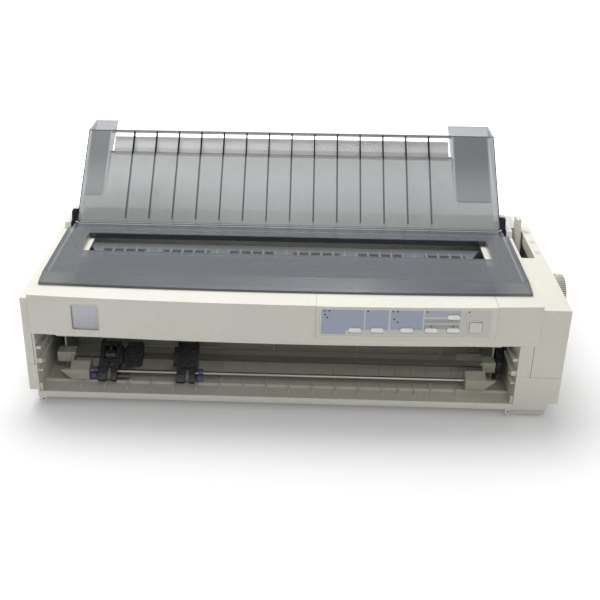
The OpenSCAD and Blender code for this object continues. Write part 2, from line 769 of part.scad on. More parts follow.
module control_panel() to_origin() color(beige)
    difference() {
        union() {
            bowed(panel_left, panel_right, panel_bottom, fascia_top, panel_proud, wall);
            intersection() {
                block(panel_left, panel_right, -fascia_bow - over, panel_back, ledge_bottom, fascia_top);
                behind_bow(bow_r, -fascia_bow);
            }
        }
        bowed(overlay_x0, overlay_x1, overlay_z0, overlay_z1, panel_proud + over, overlay_t - panel_proud);
        button_holes(slide_gap);
    }

module panel_overlay() to_origin() color([0.6, 0.65, 0.75])
    difference() {
        bowed(overlay_x0 + seam_gap, overlay_x1 - seam_gap, overlay_z0 + seam_gap, overlay_z1 - seam_gap,
              panel_proud - touch, overlay_t - panel_proud - run_gap);
        button_holes(slide_gap + seam_gap);
        for (xz = lamps) bar_y(panel_front, panel_rear, xz[0], xz[1], lamp_r + touch);
    }

module indicator_lamps() to_origin() color(black)
    for (xz = lamps)
        bar_y(panel_face(xz[0]) - touch, panel_face(xz[0]) + overlay_t - 0.15, xz[0], xz[1], lamp_r);

module button_n(i) to_origin() color(beige) {
    face = panel_face(pill_buttons[i][0]);
    pill(pill_buttons[i], face - pill_proud, face + button_l, 0);
}

module button_1() button_n(0);
module button_2() button_n(1);
module button_3() button_n(2);
module button_4() button_n(3);
module button_5() button_n(4);
module button_6() button_n(5);

module power_button() to_origin() color(beige)
    power_block(panel_face(power_xz[0]) - power_proud, panel_face(power_xz[0]) + button_l, 0);

module name_badge() to_origin() color([0.7, 0.71, 0.73])
    bowed(badge_x0, badge_x1, badge_z0, badge_z1, -0.4, badge_depth);

module case_screws() to_origin() color(steel)
    for (x = [-half_w + 20, -90, 90, half_w - 20]) bar_y(case_d, case_d + 2, x, screw_z, screw_r);

// ---------------------------------------------------------------- chassis and fixed mechanism

module chassis() to_origin() color(steel)
    difference() {
        union() {
            for (x = [plate_left - plate_t, plate_right]) {
                plate_x(x, x + plate_t,
                        [[plate_low_y, floor_z], [plate_low_y, arm_z0 - 12], [plate_front, arm_z0],
                         [plate_front, plate_top], [plate_rear, plate_top], [plate_rear, floor_z]]);
                // front arms that carry the carriage rail and the belt idler
                block(x, x + plate_t, rail_y0, plate_front + eps, arm_z0, arm_z1);
            }
            block(plate_left - eps, plate_right + eps, back_y, back_y + plate_t, back_bottom, back_top);
            // shelves of the belt idler and the carriage motor
            block(idler_pulley_x - 8, plate_right + eps, belt_y - 6, belt_y + 6,
                  idler_shelf_z, idler_shelf_z + plate_t);
            block(plate_left - eps, drive_pulley_x + 22, belt_y - 21, belt_y + 21,
                  belt_motor_z0 - plate_t, belt_motor_z0);
        }
        // gap at the right end of the cross plate
        block(plate_right - 20, plate_right - 1, back_y - over, back_y + plate_t + over, 26, 68);
        // room for the shaft housings of the tractor brackets
        shaft_housing(-1, touch);
        shaft_housing(1, touch);
        // bores
        plate_bore(platen_y, platen_z, shaft_r + run_gap);
        plate_bore(carriage_rod_y, carriage_rod_z, carriage_rod_r + run_gap);
        plate_bore(tension_y, tension_z, tension_shaft_r + run_gap);
        bar_x(plate_right - over, plate_right + plate_t + over, idler_y, idler_z, idler_stub_r + run_gap);
        bar_x(plate_right - over, plate_right + plate_t + over, pinion_y, pinion_z, 7);
        bar_z(belt_motor_z0 - plate_t - over, belt_motor_z0 + over, drive_pulley_x, belt_y, 4);
        bar_z(idler_shelf_z - over, idler_shelf_z + plate_t + over, idler_pulley_x, belt_y,
              pulley_stub_r + run_gap);
    }

// bore through both chassis plates
module plate_bore(y, z, r)
    bar_x(plate_left - plate_t - over, plate_right + plate_t + over, y, z, r);

module paper_guide() to_origin() color(beige) {
    half = platen_l / 2;
    inside_r = platen_r + 3;
    foot_z = floor_z + touch;
    rib_top = platen_z - sqrt(pow(inside_r + 1.5, 2) - pow(web_y0 - platen_y, 2));
    // low wall at the back of the tray
    block(plate_left + 4, plate_right - 34, web_y0, back_y - seam_gap, foot_z, foot_z + low_wall_h);
    // curved trough under the platen, on ribs
    difference() {
        bar_x(mech_x - half, mech_x + half - 6, platen_y, platen_z, inside_r + 2);
        bar_x(plate_left, plate_right, platen_y, platen_z, inside_r);
        block(plate_left, plate_right, 0, far, platen_z - 4, far);
        block(plate_left, plate_right, 0, platen_y - 8, 0, far);
    }
    for (i = [0 : 4]) {
        x = mech_x - 210 + i * 103;
        block(x - 1, x + 1, web_y0, back_y - seam_gap, foot_z + low_wall_h - over, rib_top);
    }
}

module carriage_rod() to_origin() color(steel)
    bar_x(plate_left - plate_t - 1, plate_right + plate_t + 1,
          carriage_rod_y, carriage_rod_z, carriage_rod_r);

module carriage_rail() to_origin() color(steel) {
    block(plate_left + seam_gap, plate_right - seam_gap, rail_y0, rail_y1, rail_z, rail_z + rail_t);
    block(plate_left + seam_gap, plate_right - seam_gap, rail_y0, rail_y0 + rail_t, rail_z - 8, rail_z + eps);
}

module timing_belt() to_origin() color(black)
    difference() {
        belt_outline(belt_in_r + belt_t, 0);
        belt_outline(belt_in_r, over);
    }

module belt_outline(r, past) {
    for (x = [drive_pulley_x, idler_pulley_x]) bar_z(belt_z0 - past, belt_z1 + past, x, belt_y, r);
    block(drive_pulley_x, idler_pulley_x, belt_y - r, belt_y + r, belt_z0 - past, belt_z1 + past);
}

module carriage_motor() to_origin() color([0.25, 0.25, 0.27]) {
    foot = belt_motor_z0 + touch;
    difference() {
        union() {
            bar_z(foot, belt_motor_z0 + belt_motor_h, drive_pulley_x, belt_y, belt_motor_r);
            block(drive_pulley_x - 18, drive_pulley_x + 18, belt_y - 11, belt_y + 11, foot, foot + 2.4);
        }
        bar_z(foot - over, belt_motor_z0 + 12, drive_pulley_x, belt_y, pulley_shaft_r + run_gap);
    }
}

module feed_motor() to_origin() color([0.25, 0.25, 0.27]) {
    face = plate_right - touch;
    difference() {
        union() {
            bar_x(plate_right - 34, face, pinion_y, pinion_z, feed_motor_r);
            bar_x(plate_right - 3, face, pinion_y, pinion_z, feed_motor_r + 0.5);
        }
        bar_x(plate_right - 14, face + over, pinion_y, pinion_z, pinion_shaft_r + run_gap);
    }
}

module main_board() to_origin() color([0.1, 0.35, 0.2]) {
    board_top = board_z + board_t;
    block(-262, -8, 190, case_d - 9, board_z, board_top);
    // row of chips, processor, two capacitors and a connector board on edge
    for (i = [0 : 3]) block(-240 + i * 44, -212 + i * 44, 225, 239, board_top - eps, board_top + 4);
    block(-110, -70, 270, 310, board_top - eps, board_top + 3.5);
    for (x = [-50, -34]) bar_z(board_top - eps, board_top + 22, x, 300, 6);
    block(-250, -236, 262, 330, board_top - eps, board_top + 30);
}

// folded sheet tray with a transformer and two smoothing capacitors
module power_supply() to_origin() color([0.6, 0.6, 0.58]) {
    tray_x0 = 60;
    tray_x1 = 245;
    tray_y0 = 190;
    tray_y1 = case_d - 12;
    sheet = 1.5;
    foot = floor_z + touch;
    inside = foot + sheet - eps;
    block(tray_x0, tray_x1, tray_y0, tray_y1, foot, foot + sheet);
    for (x = [tray_x0, tray_x1 - sheet]) block(x, x + sheet, tray_y0, tray_y1, foot, 60);
    block(78, 142, 215, 275, inside, 68);
    block(90, 130, 207, 283, inside, 56);
    bar_z(inside, 62, 180, 240, 14);
    bar_z(inside, 52, 215, 240, 11);
}

// socket of the parallel cable, on a foot that stands on the main board
module parallel_port() to_origin() color([0.2, 0.2, 0.22])
    difference() {
        union() {
            block(port_x0, port_x1, case_d - 14, case_d + 4, port_z0, port_z1);
            block(port_x0, port_x1, case_d - 14, case_d - 9.2, board_z + board_t + touch, port_z0 + eps);
        }
        block(port_x0 + 3, port_x1 - 3, case_d - 6, case_d + 4 + over, port_z0 + 2.5, port_z1 - 2.5);
    }

module power_inlet() to_origin() color(black) {
    mid = (inlet_x0 + inlet_x1) / 2;
    mid_z = (inlet_z0 + inlet_z1) / 2;
    rim = 3;
    difference() {
        union() {
            block(inlet_x0, inlet_x1, case_d - 20, case_d + 0.5, inlet_z0, inlet_z1);
            block(inlet_x0 - rim, inlet_x1 + rim, case_d + touch, case_d + 2, inlet_z0 - rim, inlet_z1 + rim);
            block(inlet_x0 + 4, inlet_x1 - 4, case_d - 20, case_d - 12.2, floor_z + 1.7, inlet_z0 + eps);
        }
        // recess of the plug, around three flat pins
        difference() {
            block(inlet_x0 + rim, inlet_x1 - rim, case_d - 14, case_d + 2 + over,
                  inlet_z0 + rim, inlet_z1 - rim);
            for (dx = [-6, 0, 6])
                block(mid + dx - 1, mid + dx + 1, case_d - 15, case_d - 3, mid_z - 2.5, mid_z + 2.5);
        }
    }
}

// ---------------------------------------------------------------- tractor feed

// housing of the drive shaft's end, on the edge of a chassis plate
module shaft_housing(side, gap) {
    x = housing_x(side);
    block(x[0] - gap, x[1] + gap, drive_y - housing_half - 1 - gap, drive_y + housing_half + 1 + gap,
          drive_z - housing_half - gap, drive_z + housing_half + gap);
}

// six-sided hood over the support rod's end, with a pointed wing outside and a thin arm to the shaft housing
module tractor_bracket(side) {
    x = hood_x(side);
    outer = side < 0 ? x[0] : x[1];
    wing_x = outer - side * 2;
    wing_y = rod_y - hood_r * cos(30) + eps;
    edge_z = rod_z + hood_r / 2;
    difference() {
        union() {
            bar_n(x[0], x[1], rod_y, rod_z, hood_r, 6);
            plate_y(wing_y, wing_y + 4,
                    [[wing_x, edge_z - hood_r], [wing_x, edge_z], [outer + side * wing_l, edge_z - 0.5]]);
            plate_x(min(outer, wing_x), max(outer, wing_x),
                    [[rod_y - 4, rod_z], [rod_y - 4, rod_z + 11], [drive_y - 4, drive_z + housing_half],
                     [drive_y + 6, drive_z + housing_half], [drive_y + 6, drive_z - 5]]);
            shaft_housing(side, 0);
        }
        bar_x(x[0] - over, x[1] + over, rod_y, rod_z, rod_r + hold);
        bar_x(-far, far, drive_y, drive_z, journal_r + run_gap);
        // clear of the ribs on the floor
        block(-far, far, rod_y - 20, rod_y + 20, 0, floor_z + rib_h + seam_gap);
    }
}

module tractor_bracket_left() to_origin() color(beige) tractor_bracket(-1);
module tractor_bracket_right() to_origin() color(beige) tractor_bracket(1);

module tractor_rod() to_origin() color(steel)
    bar_x(hood_x(-1)[0] + 1, hood_x(1)[1] - 1, rod_y, rod_z, rod_r);

module tractor_shaft() to_origin() color(steel) {
    x0 = housing_x(-1)[1] + 0.5;
    x1 = housing_x(1)[0] - 0.5;
    translate([x0, drive_y, drive_z]) rotate([tractor_tilt, 0, 0])
        translate([0, -square_a / 2, -square_a / 2]) cube([x1 - x0, square_a, square_a]);
    bar_x(housing_x(-1)[0] + 1, x0 + over, drive_y, drive_z, journal_r);
    bar_x(x1 - over, gear_x + gear_w, drive_y, drive_z, journal_r);
}

module tractor_gear() to_origin() color(black)
    gear_x(gear_x, drive_y, drive_z, tractor_teeth, tractor_phase, journal_r + hold);

// tractor frame in the tractors' own frame: two cheeks, a bed between them and two feet in front of the rod
module tractor_frame(x) {
    half = tractor_w / 2;
    bed_n = tractor_r - 2.5;
    foot_outline = [[10, -9], [-2.5, -8.4], [-8, -3.6], [-14.3, 1.3], [-13, 4], [-9, 5], [-6, bed_n],
                    [10, bed_n]];
    on_tractor() {
        difference() {
            union() {
                for (s = [x - half, x + half - cheek_t]) {
                    block(s, s + cheek_t, 0, nose_l, 1 - tractor_r, tractor_r - 1);
                    bar_x(s, s + cheek_t, nose_l, 0, tractor_r - 1 + eps);
                }
                block(x - half + 1, x + half - 1, 2, nose_l, 1 - tractor_r, bed_n);
                bar_x(x - half + 1, x + half - 1, nose_l, 0, bed_n);
                plate_x(x - half, x - 2, foot_outline);
                plate_x(x + 3.5, x + half - 2, foot_outline);
            }
            bar_x(x - half - over, x + half + over, 0, 0, rod_r + run_gap);
            bar_x(x - half - over, x + half + over, tractor_l, 0, hub_r + run_gap);
            bar_x(x - tooth_half - 1, x + tooth_half + 1, tractor_l, 0, pin_tip_r + 0.5);
        }
        // pins on the bed, in step with the sprocket's
        for (k = [-1, 1]) bar_z(bed_n - 1, pin_tip_r + 0.2, x, tractor_l + k * pin_pitch, pin_r);
    }
}

module tractor_left() to_origin() color(black) {
    tractor_frame(left_tractor_x);
    flap_hinge(left_tractor_x, 1);
    // short sleeve that stands out beside the foot
    x = left_tractor_x + tractor_w / 2;
    on_tractor() bar_x(x - 4, x + 12, -6, -1.2, 1.8);
}

module tractor_right() to_origin() color(black) {
    tractor_frame(right_tractor_x);
    flap_hinge(right_tractor_x, -1);
}

// hinge pin of a flap on two lugs; side is -1 or 1
module flap_hinge(x, side) on_tractor() {
    edge = x + side * tractor_w / 2;
    lug_x = [edge - side * 0.5, edge + side * (flap_off + 1.8)];
    for (u = lug_u)
        block(min(lug_x), max(lug_x), u, u + lug_l, flap_axis_n - 3, flap_axis_n + 2);
    translate([edge + side * flap_off, lug_u[0] + 1, flap_axis_n]) rotate([-90, 0, 0])
        cylinder(r = flap_pin, h = lug_u[1] - lug_u[0] + 1);
}

// sprocket with eight pins, on the square shaft
module sprocket(x) translate([x, drive_y, drive_z]) rotate([tractor_tilt, 0, 0])
    difference() {
        union() {
            bar_x(-tractor_w / 2, tractor_w / 2, 0, 0, hub_r);
            bar_x(-tooth_half, tooth_half, 0, 0, tractor_r - 2.4);
            for (i = [0 : 7]) rotate([i * 45, 0, 0]) bar_z(tractor_r - 3, pin_tip_r, 0, 0, pin_r);
        }
        cube([tractor_w + 2, square_a + slide_gap, square_a + slide_gap], center = true);
    }

module sprocket_left() to_origin() color([0.2, 0.2, 0.22]) sprocket(left_tractor_x);
module sprocket_right() to_origin() color([0.2, 0.2, 0.22]) sprocket(right_tractor_x);

// closed flap: barrel on the hinge pin, and a plate with cut corners over the frame on the +x side
module flap() {
    w = tractor_w + flap_off + 0.5;
    start = flap_off + seam_gap;
    b0 = lug_u[0] + lug_l + slide_gap;
    b1 = lug_u[1] - slide_gap;
    u1 = flap_u0 + flap_l;
    difference() {
        union() {
            translate([0, b0, 0]) rotate([-90, 0, 0]) cylinder(r = flap_off - slide_gap, h = b1 - b0);
            block(slide_gap - flap_off, start + eps, b0, b1, over, flap_lift + flap_t);
            translate([0, 0, flap_lift]) linear_extrude(flap_t)
                polygon([[start, flap_u0 + 5], [start + 5, flap_u0], [w - 2, flap_u0], [w, flap_u0 + 3],
                         [w, u1 - 3], [w - 2, u1], [start + 5, u1], [start, u1 - 9]]);
        }
        translate([0, b0 - over, 0]) rotate([-90, 0, 0])
            cylinder(r = flap_pin + run_gap, h = b1 - b0 + 2 * over);
    }
}

// the left flap closes towards -x and stands open, the right one lies closed
module flap_left() to_origin() color(black) on_tractor()
    translate([left_tractor_x + tractor_w / 2 + flap_off, 0, flap_axis_n])
        rotate([0, flap_open, 0]) mirror([1, 0, 0]) flap();
module flap_right() to_origin() color(black) on_tractor()
    translate([right_tractor_x - tractor_w / 2 - flap_off, 0, flap_axis_n]) flap();

// lock lever: a ring on the support rod with a thumb tab towards the front
module lock_lever(x) {
    w = 5;
    difference() {
        union() {
            bar_x(x, x + w, rod_y, rod_z, 5.4);
            block(x, x + w, rod_y - 11, rod_y, rod_z - 2, rod_z + 2);
            block(x - 0.5, x + w + 0.5, rod_y - 13, rod_y - 9, rod_z - 3, rod_z + 3);
        }
        bar_x(x - over, x + w + over, rod_y, rod_z, rod_r + run_gap);
    }
}

module lock_lever_left() to_origin() color(blue) lock_lever(left_tractor_x - tractor_w / 2 - 7);
module lock_lever_right() to_origin() color(blue) lock_lever(right_tractor_x + tractor_w / 2 + 2);

// ---------------------------------------------------------------- platen and gears

module platen_roller() to_origin() color(black)
    difference() {
        bar_x(mech_x - platen_l / 2, mech_x + platen_l / 2, platen_y, platen_z, platen_r);
        bar_x(mech_x - platen_l, mech_x + platen_l, platen_y, platen_z, shaft_r + hold);
    }

module platen_shaft() to_origin() color(steel)
    bar_x(plate_left - plate_t - 2, knob_end - knob_cap, platen_y, platen_z, shaft_r);

module platen_gear() to_origin() color([0.9, 0.9, 0.86])
    gear_x(gear_x, platen_y, platen_z, platen_teeth, platen_phase, shaft_r + hold);

module platen_knob() to_origin() color(beige) {
    x0 = case_right + seam_gap;
    difference() {
        union() {
            bar_x(x0, knob_end - knob_step, platen_y, platen_z, knob_r - 1);
            bar_x(knob_end - knob_step - eps, knob_end, platen_y, platen_z, knob_r - 3);
            for (i = [0 : knob_grips - 1])
                translate([x0, platen_y, platen_z]) rotate([i * 360 / knob_grips, 0, 0])
                    block(0, knob_l - knob_step, -1, 1, knob_r - 2, knob_r);
        }
        bar_x(x0 - over, knob_end - knob_cap, platen_y, platen_z, shaft_r + hold);
    }
}

module idler_gear() to_origin() color([0.2, 0.2, 0.2]) {
    gear_x(gear_x, idler_y, idler_z, idler_teeth, idler_phase, idler_stub_r - eps);
    bar_x(plate_right - 1, gear_x + gear_w, idler_y, idler_z, idler_stub_r);
}

module feed_pinion() to_origin() color([0.7, 0.6, 0.3]) {
    gear_x(gear_x, pinion_y, pinion_z, pinion_teeth, pinion_phase, pinion_shaft_r - touch);
    bar_x(plate_right - 12, gear_x + gear_w, pinion_y, pinion_z, pinion_shaft_r);
}

// clear bar under the paper slot with bevelled ends and fine cross lines, on a wall between the plates
module tension_frame() to_origin() color([0.5, 0.52, 0.55, 0.6]) {
    bar_t = 1.6;
    wall_y0 = 158.5;
    wall_y1 = 161;
    foot_z = tension_z - 8;
    lines = 32;
    line_x = 24 - slot_half;
    line_pitch = 14.2;
    translate([0, 0, tension_bar_z]) linear_extrude(bar_t)
        polygon([[16 - slot_half, 126], [-slot_half, wall_y1], [slot_half - 8, wall_y1],
                 [slot_half - 24, 126]]);
    for (i = [0 : lines - 1])
        block(line_x + i * line_pitch - 0.4, line_x + i * line_pitch + 0.4, 127, 137.5,
              tension_bar_z + bar_t - eps, tension_bar_z + bar_t + 0.8);
    block(plate_left + touch, plate_right - touch, wall_y0, wall_y1, foot_z, tension_bar_z + eps);
    for (x = [plate_left + touch, plate_right - touch - 2.5])
        block(x, x + 2.5, 140, wall_y1, foot_z, plate_top - 8);
}

module tension_rollers() to_origin() color([0.8, 0.82, 0.82]) {
    bar_x(plate_left - plate_t - 1, plate_right + plate_t + 1, tension_y, tension_z, tension_shaft_r);
    for (i = [0 : 4]) bar_x(tension_x(i) - 9, tension_x(i) + 9, tension_y, tension_z, tension_r);
}

// ---------------------------------------------------------------- printer cover

module cover_shell() to_origin() color(smoke) {
    under = cover_top - cover_t;
    notch = guide_half - 0.5;
    difference() {
        intersection() {
            plate_x(-cover_half, cover_half,
                [[10, cover_seat], [10, slope_z(10)], [crease_y, cover_top], [cover_rear_y, cover_top],
                 [cover_rear_y, cover_seat]]);
            behind_bow(cover_bow_r, cover_front_y);
        }
        // hollow underside, open to the rear
        intersection() {
            plate_x(-cover_half + cover_t, cover_half - cover_t,
                [[5, deck_z], [5, slope_z(5) - cover_t], [crease_y, under], [cover_rear_y + over, under],
                 [cover_rear_y + over, deck_z]]);
            behind_bow(cover_bow_r, cover_front_y + cover_t);
        }
        block(-slot_half, slot_half, slot_front, slot_rear, cover_seat - over, cover_top + over);
        // rear corners cut back for the sheet guide's arms
        for (x = [-notch - 6, notch])
            block(x, x + 6, hinge_y - 21, cover_rear_y + over, cover_seat - over, cover_top + over);
    }
    // wall behind the paper slot
    block(-slot_half, slot_half, slot_rear - eps, slot_rear + 1.8, cover_seat, under + eps);
    // knuckle around the hinge tube
    difference() {
        union() {
            block(-knuckle_half, knuckle_half, cover_rear_y - 2, hinge_y, hinge_z + 1, cover_top);
            bar_x(-knuckle_half, knuckle_half, hinge_y, hinge_z, cover_top - hinge_z);
        }
        bar_x(-knuckle_half - over, knuckle_half + over, hinge_y, hinge_z, hinge_r + hold);
    }
}

module cover_hinge_tube() to_origin() color(smoke) {
    bar_x(slide_gap - cover_half, cover_half - slide_gap, hinge_y, hinge_z, hinge_r);
    bar_x(2 - half_w, half_w - 2, hinge_y, hinge_z, hinge_pin_r);
}

// ---------------------------------------------------------------- sheet guide

module sheet_guide() to_origin() color(smoke) {
    face = -guide_drop;
    back = face - guide_t;
    corner = guide_pt(guide_end, face);
    cap_y1 = corner[0] + cap_d;
    on_guide() {
        difference() {
            block(-guide_half, guide_half, guide_start, guide_end, back, face);
            block(cap_left_in, cap_right_in, guide_end - window_l, guide_end - 2.5, back - over, face + over);
        }
        // ribs behind the panel and across the window
        for (i = [0 : guide_ribs - 1]) {
            x = guide_mid + (i - (guide_ribs - 1) / 2) * guide_rib_pitch;
            block(x - 0.8, x + 0.8, guide_start + 6, guide_end, back - guide_rib_d, face - eps);
        }
        // side skirts
        for (x = [-guide_half, guide_half - 2])
            block(x, x + 2, guide_start, guide_end - cap_l, back - 4, back + eps);
    }
    // end caps: two walls and a flange that is level while the guide is raised
    for (x = [touch - guide_half, cap_left_in - cap_t - touch, cap_right_in + touch,
              guide_half - cap_t - touch])
        plate_x(x, x + cap_t, [guide_pt(guide_end - cap_l, back + 0.5), guide_pt(guide_end - 0.5, back + 0.5),
                               [cap_y1 - touch, corner[1] - 0.4], [cap_y1 - touch, corner[1] - 2.4]]);
    for (x = [[touch - guide_half, cap_left_in], [cap_right_in, guide_half - touch]])
        block(x[0], x[1], corner[0] + 0.5, cap_y1, corner[1] - 2, corner[1]);
    // narrow lip between the caps
    block(cap_left_in - 1, cap_right_in + 1, corner[0] - 0.5, corner[0] + 5,
          corner[1] - 1.8, corner[1] - 0.2);
    // arms that swing on the hinge tube
    for (side = [0, 1]) {
        x = side ? guide_half - touch : -guide_half - 4;
        difference() {
            union() {
                bar_x(x, x + arm_t, hinge_y, hinge_z, hinge_r + 2.4);
                plate_x(x, x + arm_t,
                        [[hinge_y - 3, hinge_z + 3], [hinge_y + 2, ear_top + 12], [hinge_y + 9, ear_top + 13],
                         guide_pt(26, back + 1), guide_pt(8, back + 1), [hinge_y + 3, hinge_z - 3]]);
            }
            bar_x(x - over, x + arm_t + over, hinge_y, hinge_z, hinge_r + run_gap);
        }
        foot_x = side ? guide_half - 1.1 : -guide_half - 3.9;
        on_guide() block(foot_x, foot_x + 5, guide_start + 2, guide_start + 16, back - 3.5, face - 0.3);
    }
}

module guide_flap() to_origin() color([0.8, 0.8, 0.75, 0.7])
    on_guide() {
        block(cap_left_in + 4, cap_right_in - 4, flap_u - flap_low, flap_u + 25,
              flap_n - 0.75, flap_n + 0.75);
        bar_x(cap_left_in + slide_gap, cap_right_in - slide_gap, flap_u, flap_n, flap_pin_r);
    }

// ---------------------------------------------------------------- carriage

module carriage() to_origin() color(black) {
    x0 = carriage_x - carriage_w / 2;
    x1 = carriage_x + carriage_w / 2;
    strand_y = belt_y - belt_in_r;          // inner face of the belt's front strand
    difference() {
        union() {
            block(x0, x1, carriage_rod_y - 9, carriage_rod_y + 9, carriage_rod_z - 9, carriage_top);
            block(x0, x1, rail_y0 + 1, carriage_rod_y, belt_z1 + 4, belt_z1 + 8);
            block(carriage_x - 8, carriage_x + 8, rail_y0 + 2, rail_y1 + 2,
                  rail_z + rail_t + slide_gap, belt_z1 + 5);
            // belt clamp around the front strand
            block(carriage_x - 10, carriage_x + 10, strand_y - 3.2, strand_y + 2, belt_z0 - 2, belt_z1 + 5);
            // posts that hold the ribbon cartridge
            for (s = [-1, 1])
                block(carriage_x + s * 28 - 3, carriage_x + s * 28 + 3, 28, 34,
                      belt_z1 + 7, cartridge_z - touch);
        }
        bar_x(x0 - over, x1 + over, carriage_rod_y, carriage_rod_z, carriage_rod_r + run_gap);
        block(x0 - over, x1 + over, strand_y - belt_t - slide_gap, strand_y + slide_gap,
              belt_z0 - slide_gap, belt_z1 + slide_gap);
    }
}

// finned round body above the carriage, with a low nose that reaches the platen
module print_head() to_origin() color([0.15, 0.15, 0.16]) {
    body_y0 = 38;
    body_y1 = 57;
    fins = 5;
    fin_pitch = 3.4;
    bar_y(body_y0, body_y1, carriage_x, head_z, head_r - 1.2);
    for (i = [0 : fins - 1])
        bar_y(body_y0 + 1.5 + i * fin_pitch, body_y0 + 3 + i * fin_pitch, carriage_x, head_z, head_r);
    block(carriage_x - 12, carriage_x + 12, body_y1 - 2, 66, carriage_top, head_z + 6);
    block(carriage_x - 4, carriage_x + 4, 65, nose_y, platen_z - 4, platen_z + 4);
}

// flat box in front of the head, with two arms that carry the ribbon past the nose
module ribbon_cartridge() to_origin() color([0.12, 0.12, 0.13]) {
    box_y0 = 22;
    box_y1 = 36;
    box_top = cartridge_z + 12;
    dial_x = carriage_x + 60;
    dial_y = 29;
    tip_y = nose_y + 0.6;
    difference() {
        block(carriage_x - 75, carriage_x + 75, box_y0, box_y1, cartridge_z, box_top);
        bar_z(box_top - 3, box_top + over, dial_x, dial_y, 4.2);
    }
    bar_z(box_top - 3 - eps, box_top + 2, dial_x, dial_y, 3.8);
    for (s = [-1, 1]) {
        x = carriage_x + s * 26;
        block(x - 4, x + 4, box_y1 - 1, tip_y, cartridge_z, cartridge_z + 7);
        block(x - 4, x + 4, tip_y - 7, tip_y, platen_z - 5, cartridge_z + 1);
    }
    // the ribbon between the arms
    block(carriage_x - 30, carriage_x + 30, nose_y + 0.3, tip_y, platen_z - 5, platen_z + 5);
}

module drive_pulley() to_origin() color([0.75, 0.72, 0.6]) {
    bar_z(belt_z0, belt_z1, drive_pulley_x, belt_y, pulley_r - 0.1);
    bar_z(belt_z1 - eps, belt_motor_z0 + 11, drive_pulley_x, belt_y, pulley_shaft_r);
}

module idler_pulley() to_origin() color([0.75, 0.72, 0.6]) {
    bar_z(belt_z0, belt_z1, idler_pulley_x, belt_y, pulley_r - 0.1);
    bar_z(belt_z1 - eps, belt_z1 + 5.5, idler_pulley_x, belt_y, pulley_stub_r);
}

// ---------------------------------------------------------------- release lever

module release_lever() to_origin() color(beige)
    difference() {
        union() {
            bar_x(lever_x0, lever_x1, lever_y, lever_z, 9);
            plate_x(lever_x0, lever_x1,
                    [[lever_y - 7, lever_z + 2], [lever_y + 22, lever_tip_z - 2], [lever_y + 26, lever_tip_z],
                     [lever_y + 35, lever_tip_z - 1], [lever_y + 36, lever_tip_z - 5],
                     [lever_y + 8, lever_z]]);
        }
        bar_x(lever_x0 - over, lever_x1 + over, lever_y, lever_z, lever_pin_r + run_gap);
    }

lower_case();
rubber_feet();
upper_case();
left_side_cover();
right_side_cover();
control_panel();
panel_overlay();
indicator_lamps();
name_badge();
case_screws();
chassis();
paper_guide();
carriage_rod();
carriage_rail();
timing_belt();
carriage_motor();
feed_motor();
main_board();
power_supply();
parallel_port();
power_inlet();
tractor_bracket_left();
tractor_bracket_right();
tractor_rod();
tension_frame();
cover_shell();
cover_hinge_tube();
sheet_guide();
guide_flap();
platen_roller();
platen_shaft();
platen_gear();
platen_knob();
idler_gear();
feed_pinion();
tension_rollers();
tractor_shaft();
tractor_gear();
tractor_left();
sprocket_left();
flap_left();
lock_lever_left();
tractor_right();
sprocket_right();
flap_right();
lock_lever_right();
carriage();
print_head();
ribbon_cartridge();
drive_pulley();
idler_pulley();
release_lever();
button_1();
button_2();
button_3();
button_4();
button_5();
button_6();
power_button();
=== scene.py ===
import math

import bmesh
import bpy
from mathutils import Matrix, Vector


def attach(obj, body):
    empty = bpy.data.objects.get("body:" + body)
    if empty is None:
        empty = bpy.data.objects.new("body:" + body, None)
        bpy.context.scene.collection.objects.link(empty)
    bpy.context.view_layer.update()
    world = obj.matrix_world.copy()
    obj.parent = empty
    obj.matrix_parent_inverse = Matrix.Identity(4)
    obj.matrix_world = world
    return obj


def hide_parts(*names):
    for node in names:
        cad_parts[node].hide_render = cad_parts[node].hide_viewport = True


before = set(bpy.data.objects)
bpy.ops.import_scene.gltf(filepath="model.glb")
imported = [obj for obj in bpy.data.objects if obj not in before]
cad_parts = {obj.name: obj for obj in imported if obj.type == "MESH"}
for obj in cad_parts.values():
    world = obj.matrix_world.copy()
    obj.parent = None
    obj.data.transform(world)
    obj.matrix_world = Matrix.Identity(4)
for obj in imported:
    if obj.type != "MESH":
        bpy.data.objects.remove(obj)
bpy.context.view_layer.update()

# ---------------------------------------------------------------- layout of the machine, millimetres
# Layout frame: x = 0 at the middle of the fascia, y = 0 at its ends, z = 0 on the desk.
ORIGIN = (17.1, 179.075, 0.0)
HALF_W = 284.0
FASCIA_BOW = 10.0
BOW_R = (HALF_W ** 2 + FASCIA_BOW ** 2) / (2 * FASCIA_BOW)
PANEL_PROUD = 1.2
KNOB_Y, KNOB_Z, KNOB_RIBS = 92.0, 118.0, 60
HINGE_Y, HINGE_Z = 203.0, 148.4
GUIDE_TILT = math.radians(38.5)
ROD_Y, ROD_Z = 40.0, 27.0
TRACTOR_TILT = math.radians(38)
LEFT_TRACTOR, RIGHT_TRACTOR = -206.0, -113.0
GUIDE_RIB_X0, GUIDE_RIB_PITCH = -12.25 - 6.5 * 30.4, 30.4
